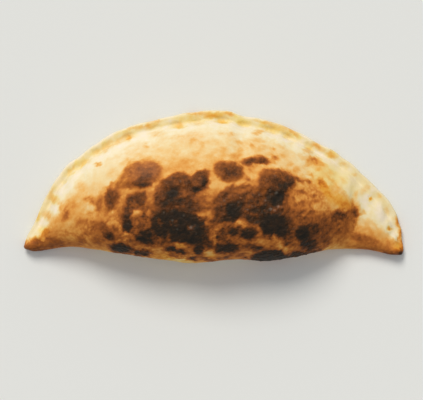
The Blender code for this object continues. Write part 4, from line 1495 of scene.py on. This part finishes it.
@dataclass(frozen=True)
class Relief:
    """Bubbles, pinches, wrinkles and blisters of the skin.

    Attributes:
        rising: Heights between which the relief sets in over the floor, in mm.
        edges: How the edges of bubbles and pinches wander.
        bubble_edge: How far that is for a bubble, as a share of its raggedness.
        pinch_edge: How far that is for a pinch, as a share of its raggedness.
        bubble_round: How round a bubble is, 1 for a ramp and less for a dome.
        bead_height: Height of a burst blister, as a share of its width.
        groove_depth: Depth of the groove inside the rim, in mm.
        groove_width: Half its width, in mm.
        groove_begins: Along Y, where it begins, in mm.
        groove_middle: Its middle along X, in mm.
        groove_ends: Out from that middle, where it sets in, in mm.
        scorched: Browning between which the skin blisters.
        glazed: Browning between which the glaze fills the blisters.
        filled: How much of them it fills.
        wrinkles: The cloudy patterns of the skin.
        wrinkle_depth: How many times finer clouds are added to each of them.
    """

    rising: tuple[float, float] = (1.0, 6.0)
    edges: Grain = Grain(5.0, 14.2)
    bubble_edge: float = 0.6
    pinch_edge: float = 0.3
    bubble_round: float = 0.7
    bead_height: float = 0.24
    groove_depth: float = 0.1
    groove_width: float = 2.2
    groove_begins: tuple[float, float] = (-30.0, 0.0)
    groove_middle: float = 5.0
    groove_ends: tuple[float, float] = (70.0, 40.0)
    scorched: tuple[float, float] = (0.42, 0.82)
    glazed: tuple[float, float] = (0.84, 0.94)
    filled: float = 0.65
    wrinkles: tuple[Wrinkle, ...] = (
        Wrinkle("wrinkles", "skin", Clouds.SOFT, 9.0, 0.7),
        Wrinkle("crinkles", "skin", Clouds.EVEN, 3.2, 0.3),
        Wrinkle("blisters", "scorched", Clouds.EVEN, 4.6, 2.2),
        Wrinkle("crumbs", "scorched", Clouds.CELLS, 3.6, -1.0),
    )
    wrinkle_depth: int = 2

    def above_floor(self, places: np.ndarray) -> np.ndarray:
        """Share of the relief at each place: none where the crust rests on the floor."""
        return risen(places[:, 2], *self.rising)

    def raise_bubbles(self, crust: bpy.types.Object, rim: Rim) -> None:
        """Puff up the bubbles of steam, lift the burst blisters and pinch the rim.

        Args:
            crust: The finely meshed crust.
            rim: The pinched rim.
        """
        places = vertex_places(crust)
        above = self.above_floor(places)
        edges = self.edges.over(places)
        lift = np.zeros(len(places))
        for mark in SCORCH_LEFT + SCORCH_MIDDLE + SCORCH_RIGHT:
            if mark.rise > 0.0:
                dome = cover(mark, places, self.bubble_edge * edges) ** self.bubble_round
                lift += mark.rise * dome
        for x, y, width in BEADS:
            apart = np.hypot(places[:, 0] - x, places[:, 1] - y) / (width / 2)
            dome = np.sqrt(np.clip(1.0 - apart ** 2, 0.0, None))
            lift += self.bead_height * width * dome
        self.push(crust, "bubbles", lift * above)
        past = rim.inward(places) + edges - rim.width
        groove = np.clip(1.0 - (past / self.groove_width) ** 2, 0.0, None) ** 2
        groove *= risen(places[:, 1], *self.groove_begins)
        groove *= risen(np.abs(places[:, 0] - self.groove_middle), *self.groove_ends)
        dent = self.groove_depth * groove
        for mark, depth in PINCHES:
            dent += depth * cover(mark, places, self.pinch_edge * edges)
        self.push(crust, "pinches", -dent * above)

    def roughen(self, crust: bpy.types.Object, baked: np.ndarray) -> None:
        """Wrinkle the whole skin and blister it where it is scorched.

        Args:
            crust: The crust with its bubbles.
            baked: Browning of each vertex.
        """
        above = self.above_floor(vertex_places(crust))
        self.weigh(crust, "skin", above)
        open_skin = 1.0 - self.filled * risen(baked, *self.glazed)
        self.weigh(crust, "scorched", above * risen(baked, *self.scorched) * open_skin)
        for wrinkle in self.wrinkles:
            self.press(crust, wrinkle)

    def weigh(self, crust: bpy.types.Object, name: str, weights: np.ndarray) -> None:
        """Store a weight on each vertex as a vertex group, rounded to a few steps.

        Args:
            crust: The crust.
            name: Name of the group.
            weights: Weight of each vertex, 0 to 1.
        """
        group = crust.vertex_groups.new(name=name)
        steps = np.round(np.clip(weights, 0.0, 1.0) * WEIGHT_STEPS).astype(int)
        for step in np.unique(steps):
            if step > 0:
                members = np.nonzero(steps == step)[0].tolist()
                group.add(members, step / WEIGHT_STEPS, "REPLACE")

    def push(self, crust: bpy.types.Object, name: str, heights: np.ndarray) -> None:
        """Push the skin in or out.

        Args:
            crust: The crust.
            name: Name of the push.
            heights: Height of each vertex's push in mm, less than 0 for inward.
        """
        for side, sign in (("out", 1.0), ("in", -1.0)):
            lift = np.clip(sign * heights, 0.0, None)
            top = float(lift.max())
            if top > 0.0:
                label = f"{name}_{side}"
                self.weigh(crust, label, lift / top)
                only(crust)
                pusher = crust.modifiers.new(label, "DISPLACE")
                pusher.strength = sign * top * MM
                pusher.mid_level = 0.0
                pusher.vertex_group = label
                bpy.ops.object.modifier_apply(modifier=label)

    def press(self, crust: bpy.types.Object, wrinkle: Wrinkle) -> None:
        """Displace the skin by a cloudy pattern.

        Args:
            crust: The crust, which is the active object.
            wrinkle: The pattern.
        """
        pattern = bpy.data.textures.new(wrinkle.name, "CLOUDS")
        pattern.noise_scale = wrinkle.size * MM
        pattern.noise_depth = self.wrinkle_depth
        pattern.noise_basis = wrinkle.clouds.value
        pusher = crust.modifiers.new(wrinkle.name, "DISPLACE")
        pusher.texture = pattern
        pusher.texture_coords = "LOCAL"
        pusher.strength = wrinkle.height * MM
        pusher.mid_level = PATTERN_MIDDLE
        pusher.vertex_group = wrinkle.group
        bpy.ops.object.modifier_apply(modifier=wrinkle.name)


@dataclass
class Crust:
    """The whole skin of the calzone, shaped from its solid.

    Attributes:
        cell: Distance between neighbouring vertices, in mm.
        merging: Distance up to which loose corners of the solid are merged, in mm.
        joining: Angle up to which its triangles are joined to quads, in radians.
        rounding: How often its facets are halved as they are rounded off.
        underside_left: Share of the faces that the flat underside keeps.
        underside_top: Height up to which a face belongs to the underside, in mm.
        facing_down: Z of a face's normal below which it faces down.
        sway: How far the marks sway as a whole, in mm.
        jitter: How far they are crumpled, in mm.
        sways: Wide sways of the marks toward the rim.
        jitters: Crumples of the marks to the right and toward the rim.
        ragged: Wandering of the marks' edges along the stretch.
        wander: Strengths of that wandering, of the fine grain and of the crumb.
        halo: Out from a dark mark, where its halo sets in, in mm.
        halo_tone: Browning of the halo, as a share of its mark's.
        glow_edge: How far the edges of glow and dust wander.
        dust: How much of the flour shows.
        dusty: Browning between which the flour sets in.
        glint: Place and size of the painted highlight on a burst blister, set toward the
            window, and the width from which it shows, as shares of the blister's width and
            in mm.
        glint_strength: Strength of that painted highlight for each mm of width.
        rim: The pinched rim.
        fold: The fold side.
        mottling: Specks, streaks and clouds of the browning.
        relief: Bubbles, pinches, wrinkles and blisters.
        finish: What the crust is dressed in.
    """

    cell: float = 0.87
    merging: float = 0.01
    joining: float = 0.7
    rounding: int = 2
    underside_left: float = 0.04
    underside_top: float = 0.3
    facing_down: float = -0.99
    sway: float = 0.8
    jitter: float = 0.9
    sways: Grain = Grain(9.0, 21.4)
    jitters: tuple[Grain, Grain] = (Grain(4.0, 11.9), Grain(4.0, 31.2))
    ragged: Grain = Grain(5.0, 41.7)
    wander: tuple[float, float, float] = (0.5, 0.65, 0.25)
    halo: tuple[float, float] = (3.8, -0.6)
    halo_tone: float = 0.74
    glow_edge: float = 0.8
    dust: float = 0.35
    dusty: tuple[float, float] = (0.34, 0.10)
    glint: tuple[float, float, float, float] = (-0.15, 0.2, 0.45, 1.4)
    glint_strength: float = 0.05
    rim: Rim = Rim()
    fold: Fold = Fold()
    mottling: Mottling = Mottling()
    relief: Relief = Relief()
    finish: CrustFinish = CrustFinish()

    def build(self, solid: bpy.types.Object) -> bpy.types.Object:
        """Shape, bake and dress the crust.

        Args:
            solid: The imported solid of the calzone.

        Returns:
            The finished crust.
        """
        crust = self.from_solid(solid)
        self.refine(crust)
        self.thin_underside(crust)
        baked = self.bake(crust)
        self.relief.raise_bubbles(crust, self.rim)
        self.relief.roughen(crust, baked)
        crust.data.materials.clear()
        crust.data.materials.append(self.finish.material())
        return crust

    def from_solid(self, solid: bpy.types.Object) -> bpy.types.Object:
        """Copy the solid, with its loose triangles merged into one skin.

        Args:
            solid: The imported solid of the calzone.

        Returns:
            The copy.
        """
        crust = bpy.data.objects.new("calzone_crust", solid.data.copy())
        bpy.context.scene.collection.objects.link(crust)
        only(crust)
        bpy.ops.object.mode_set(mode="EDIT")
        bpy.ops.mesh.select_all(action="SELECT")
        bpy.ops.mesh.remove_doubles(threshold=self.merging * MM)
        bpy.ops.mesh.tris_convert_to_quads(face_threshold=self.joining,
                                           shape_threshold=self.joining)
        bpy.ops.object.mode_set(mode="OBJECT")
        return crust

    def refine(self, crust: bpy.types.Object) -> None:
        """Round the facets off and cover the skin with an even, fine mesh.

        Args:
            crust: The faceted crust.
        """
        smoother = crust.modifiers.new("round", "SUBSURF")
        smoother.levels = self.rounding
        smoother.render_levels = self.rounding
        bpy.ops.object.modifier_apply(modifier="round")
        mesher = crust.modifiers.new("even", "REMESH")
        mesher.mode = "VOXEL"
        mesher.voxel_size = self.cell * MM
        mesher.use_smooth_shade = True
        bpy.ops.object.modifier_apply(modifier="even")

    def thin_underside(self, crust: bpy.types.Object) -> None:
        """Leave few faces on the flat underside, which has no relief.

        Args:
            crust: The finely meshed crust.
        """
        bpy.ops.object.mode_set(mode="EDIT")
        bpy.ops.mesh.select_mode(type="FACE")
        bpy.ops.mesh.select_all(action="DESELECT")
        bpy.ops.object.mode_set(mode="OBJECT")
        for face in crust.data.polygons:
            face.select = (face.normal.z < self.facing_down
                           and face.center.z < self.underside_top * MM)
        bpy.ops.object.mode_set(mode="EDIT")
        bpy.ops.mesh.decimate(ratio=self.underside_left)
        bpy.ops.object.mode_set(mode="OBJECT")

    def bake(self, crust: bpy.types.Object) -> np.ndarray:
        """Store on each vertex how far it is baked, how gilded and how floury it is.

        Args:
            crust: The finely meshed crust.

        Returns:
            Browning of each vertex, 0 to 1.
        """
        places = vertex_places(crust)
        fine = self.mottling.fine.over(places)
        bent = self.fold.unrolled(places)
        for axis, wide in enumerate((self.mottling.broad, self.sways)):
            bent[:, axis] += self.sway * wide.over(places)
            bent[:, axis] += self.jitter * self.jitters[axis].over(places)
        edges = (self.ragged.over(self.mottling.slanted(places)), fine,
                 self.mottling.crumb.over(places))
        wander = sum(strength * edge for strength, edge in zip(self.wander, edges))
        baked = np.full(len(places), CREAM.value)
        baked = self.marked(baked, ZONES, bent, wander)
        baked = self.rim.baked(baked, places, fine)
        for marks in (LEFT_MARKS, SCORCH_LEFT, SCORCH_MIDDLE, SCORCH_RIGHT, RIGHT_MARKS,
                      FRECKLES, RIM_MARKS):
            baked = self.marked(baked, marks, bent, wander)
        baked = self.mottling.over(baked, places, bent, fine)
        baked = np.clip(self.fold.pale_foot(baked, places, fine), 0.0, 1.0)
        gilt = self.spread(self.rim.gilt(places, fine), GILDED, bent, fine)
        self.store(crust, "baked", baked)
        self.store(crust, "gilt", np.clip(gilt, 0.0, 1.0))
        self.store(crust, "flour_and_sheen", self.flour_and_sheen(places, bent, fine, baked))
        return baked

    def marked(self, baked: np.ndarray, marks: tuple[Mark, ...], places: np.ndarray,
               wander: np.ndarray) -> np.ndarray:
        """Lay a table of marks over the browning, the dark ones with a halo.

        Args:
            baked: Browning of each place.
            marks: The table.
            places: The places in the frame of the tables, in mm.
            wander: How far the marks' edges wander at each place.

        Returns:
            Browning of each place, with the marks.
        """
        for mark in marks:
            tone = mark.tone.value
            if tone >= RUSSET.value:
                outside = mark.outside(places) + mark.ragged * wander
                halo = risen(outside, *self.halo)
                baked = np.maximum(baked, baked + (self.halo_tone * tone - baked) * halo)
            baked = baked + (tone - baked) * cover(mark, places, wander)
        return baked

    def spread(self, layer: np.ndarray, marks: tuple[tuple[Mark, float], ...],
               places: np.ndarray, fine: np.ndarray) -> np.ndarray:
        """Spread a table of marks over a layer of glow or dust.

        Args:
            layer: The layer at each place.
            marks: The table, with the strength of each mark.
            places: The places in the frame of the tables, in mm.
            fine: The fine grain at each place.

        Returns:
            The layer at each place, with the marks.
        """
        for mark, strength in marks:
            share = cover(mark, places, self.glow_edge * fine)
            layer = np.maximum(layer, strength * share)
        return layer

    def flour_and_sheen(self, places: np.ndarray, bent: np.ndarray, fine: np.ndarray,
              baked: np.ndarray) -> np.ndarray:
        """Loose flour, which clings to the palest places, and painted sheen and highlights
        on the scorched crust and its blisters.

        Args:
            places: Places on the crust in mm, one row each.
            bent: The same places in the frame of the tables of marks.
            fine: The fine grain at each place.
            baked: Browning of each place.

        Returns:
            How much flour and painted sheen lies on each place, 0 to 1.
        """
        dust = self.spread(np.zeros(len(bent)), FLOURED, bent, fine)
        dust = self.dust * dust * risen(baked, *self.dusty)
        # Painted sheen and highlights on the scorched crust.
        dust = self.spread(dust, PAINTED_SHEEN, bent, fine)
        # Painted highlight on each burst blister, set toward the window.
        right, back, reach, least = self.glint
        for x, y, width in BEADS:
            apart = np.hypot(places[:, 0] - x - right * width,
                             places[:, 1] - y - back * width)
            glint = np.clip(1.0 - (apart / (reach * width)) ** 2, 0.0, None)
            dust = np.maximum(dust, self.glint_strength * (width - least) * glint)
        return np.clip(dust, 0.0, 1.0)

    def store(self, crust: bpy.types.Object, name: str, values: np.ndarray) -> None:
        """Store one value on each vertex, under a name that the finish reads."""
        layer = crust.data.attributes.new(name, "FLOAT", "POINT")
        layer.data.foreach_set("value", values.astype(np.float32))


@dataclass(frozen=True)
class FloorFinish:
    """Smooth honed stone worktop: pale grey and matt, with hardly a reflection.

    Attributes:
        colour: Colour of the stone.
        roughness: Roughness of its honed face.
        gloss: How much it mirrors at a right angle.
    """

    colour: str = "#E6E8E5"
    roughness: float = 0.7
    gloss: float = 0.2

    def material(self) -> bpy.types.Material:
        """Build the plain pale material of the floor.

        Returns:
            The material.
        """
        material = bpy.data.materials.new("honed_worktop")
        material.use_nodes = True
        shader = material.node_tree.nodes["Principled BSDF"]
        shader.inputs["Base Color"].default_value = linear(self.colour)
        shader.inputs["Roughness"].default_value = self.roughness
        shader.inputs["Specular IOR Level"].default_value = self.gloss
        return material


@dataclass
class Studio:
    """Floor, lights and camera round the calzone.

    Attributes:
        floor_side: Side of the square floor, in metres.
        floor_gap: Gap between the floor and the calzone, in metres.
        room: Colour of the light that fills the room.
        room_strength: Strength of that light.
        window: Colour of the daylight from the window.
        window_strength: Strength of the daylight.
        window_spread: Angle that the window takes up, in degrees.
        window_side: Direction in which the window lies.
        height: Height of the camera over the base, in metres.
        seen_width: Width of the floor that the camera sees, in metres.
        aim: Place on the floor under the camera, in metres.
        roll: Turn of the camera round its line of sight, in degrees.
        sensor: Width of the camera's sensor, in mm.
        near: Nearest distance that the camera sees, in metres.
    """

    floor_side: float = 8.0
    floor_gap: float = 0.2 * MM
    room: str = "#F4F4F6"
    room_strength: float = 0.5
    window: str = "#FFFBF5"
    window_strength: float = 2.15
    window_spread: float = 26.0
    window_side: tuple[float, float, float] = (-0.45, 1.25, 1.35)
    height: float = 3.2
    seen_width: float = 0.344
    aim: tuple[float, float] = (-2.4 * MM, -10.7 * MM)
    roll: float = 0.9
    sensor: float = 36.0
    near: float = 0.05

    def build(self) -> None:
        """Set up the whole studio."""
        self.lay_floor()
        self.light()
        self.place_camera()

    def lay_floor(self) -> None:
        """Lay the floor under the calzone."""
        bpy.ops.object.select_all(action="DESELECT")
        bpy.ops.mesh.primitive_plane_add(size=self.floor_side,
                                         location=(0, 0, -self.floor_gap))
        floor = bpy.context.active_object
        floor.name = "floor"
        floor.data.materials.append(FloorFinish().material())

    def light(self) -> None:
        """Let wide daylight in from the side of the rim and fill the room softly."""
        scene = bpy.context.scene
        scene.view_settings.view_transform = "Standard"
        scene.view_settings.look = "None"
        world = bpy.data.worlds.new("soft_room")
        world.use_nodes = True
        room = world.node_tree.nodes["Background"]
        room.inputs["Color"].default_value = linear(self.room)
        room.inputs["Strength"].default_value = self.room_strength
        scene.world = world
        window = bpy.data.lights.new("window", "SUN")
        window.angle = math.radians(self.window_spread)
        window.energy = self.window_strength
        window.color = linear(self.window)[:3]
        holder = bpy.data.objects.new("window", window)
        side = Vector(self.window_side)
        holder.location = side
        holder.rotation_euler = (-side).to_track_quat("-Z", "Y").to_euler()
        scene.collection.objects.link(holder)

    def place_camera(self) -> None:
        """Put the camera straight over the calzone."""
        camera = bpy.data.cameras.new("overhead")
        camera.sensor_width = self.sensor
        camera.lens = self.sensor * self.height / self.seen_width
        camera.clip_start = self.near
        holder = bpy.data.objects.new("overhead", camera)
        holder.location = (self.aim[0], self.aim[1], self.height)
        holder.rotation_euler = (0.0, 0.0, math.radians(self.roll))
        bpy.context.scene.collection.objects.link(holder)
        bpy.context.scene.camera = holder


def main() -> None:
    """Build the crust and the studio, and log the crust's face count."""
    crust = Crust().build(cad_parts["calzone"])
    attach(crust, "root")
    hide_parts("calzone")
    log.info("%s: %d faces", crust.name, len(crust.data.polygons))
    Studio().build()
    log.info("studio: floor, window and camera")


if __name__ == "__main__":
    main()
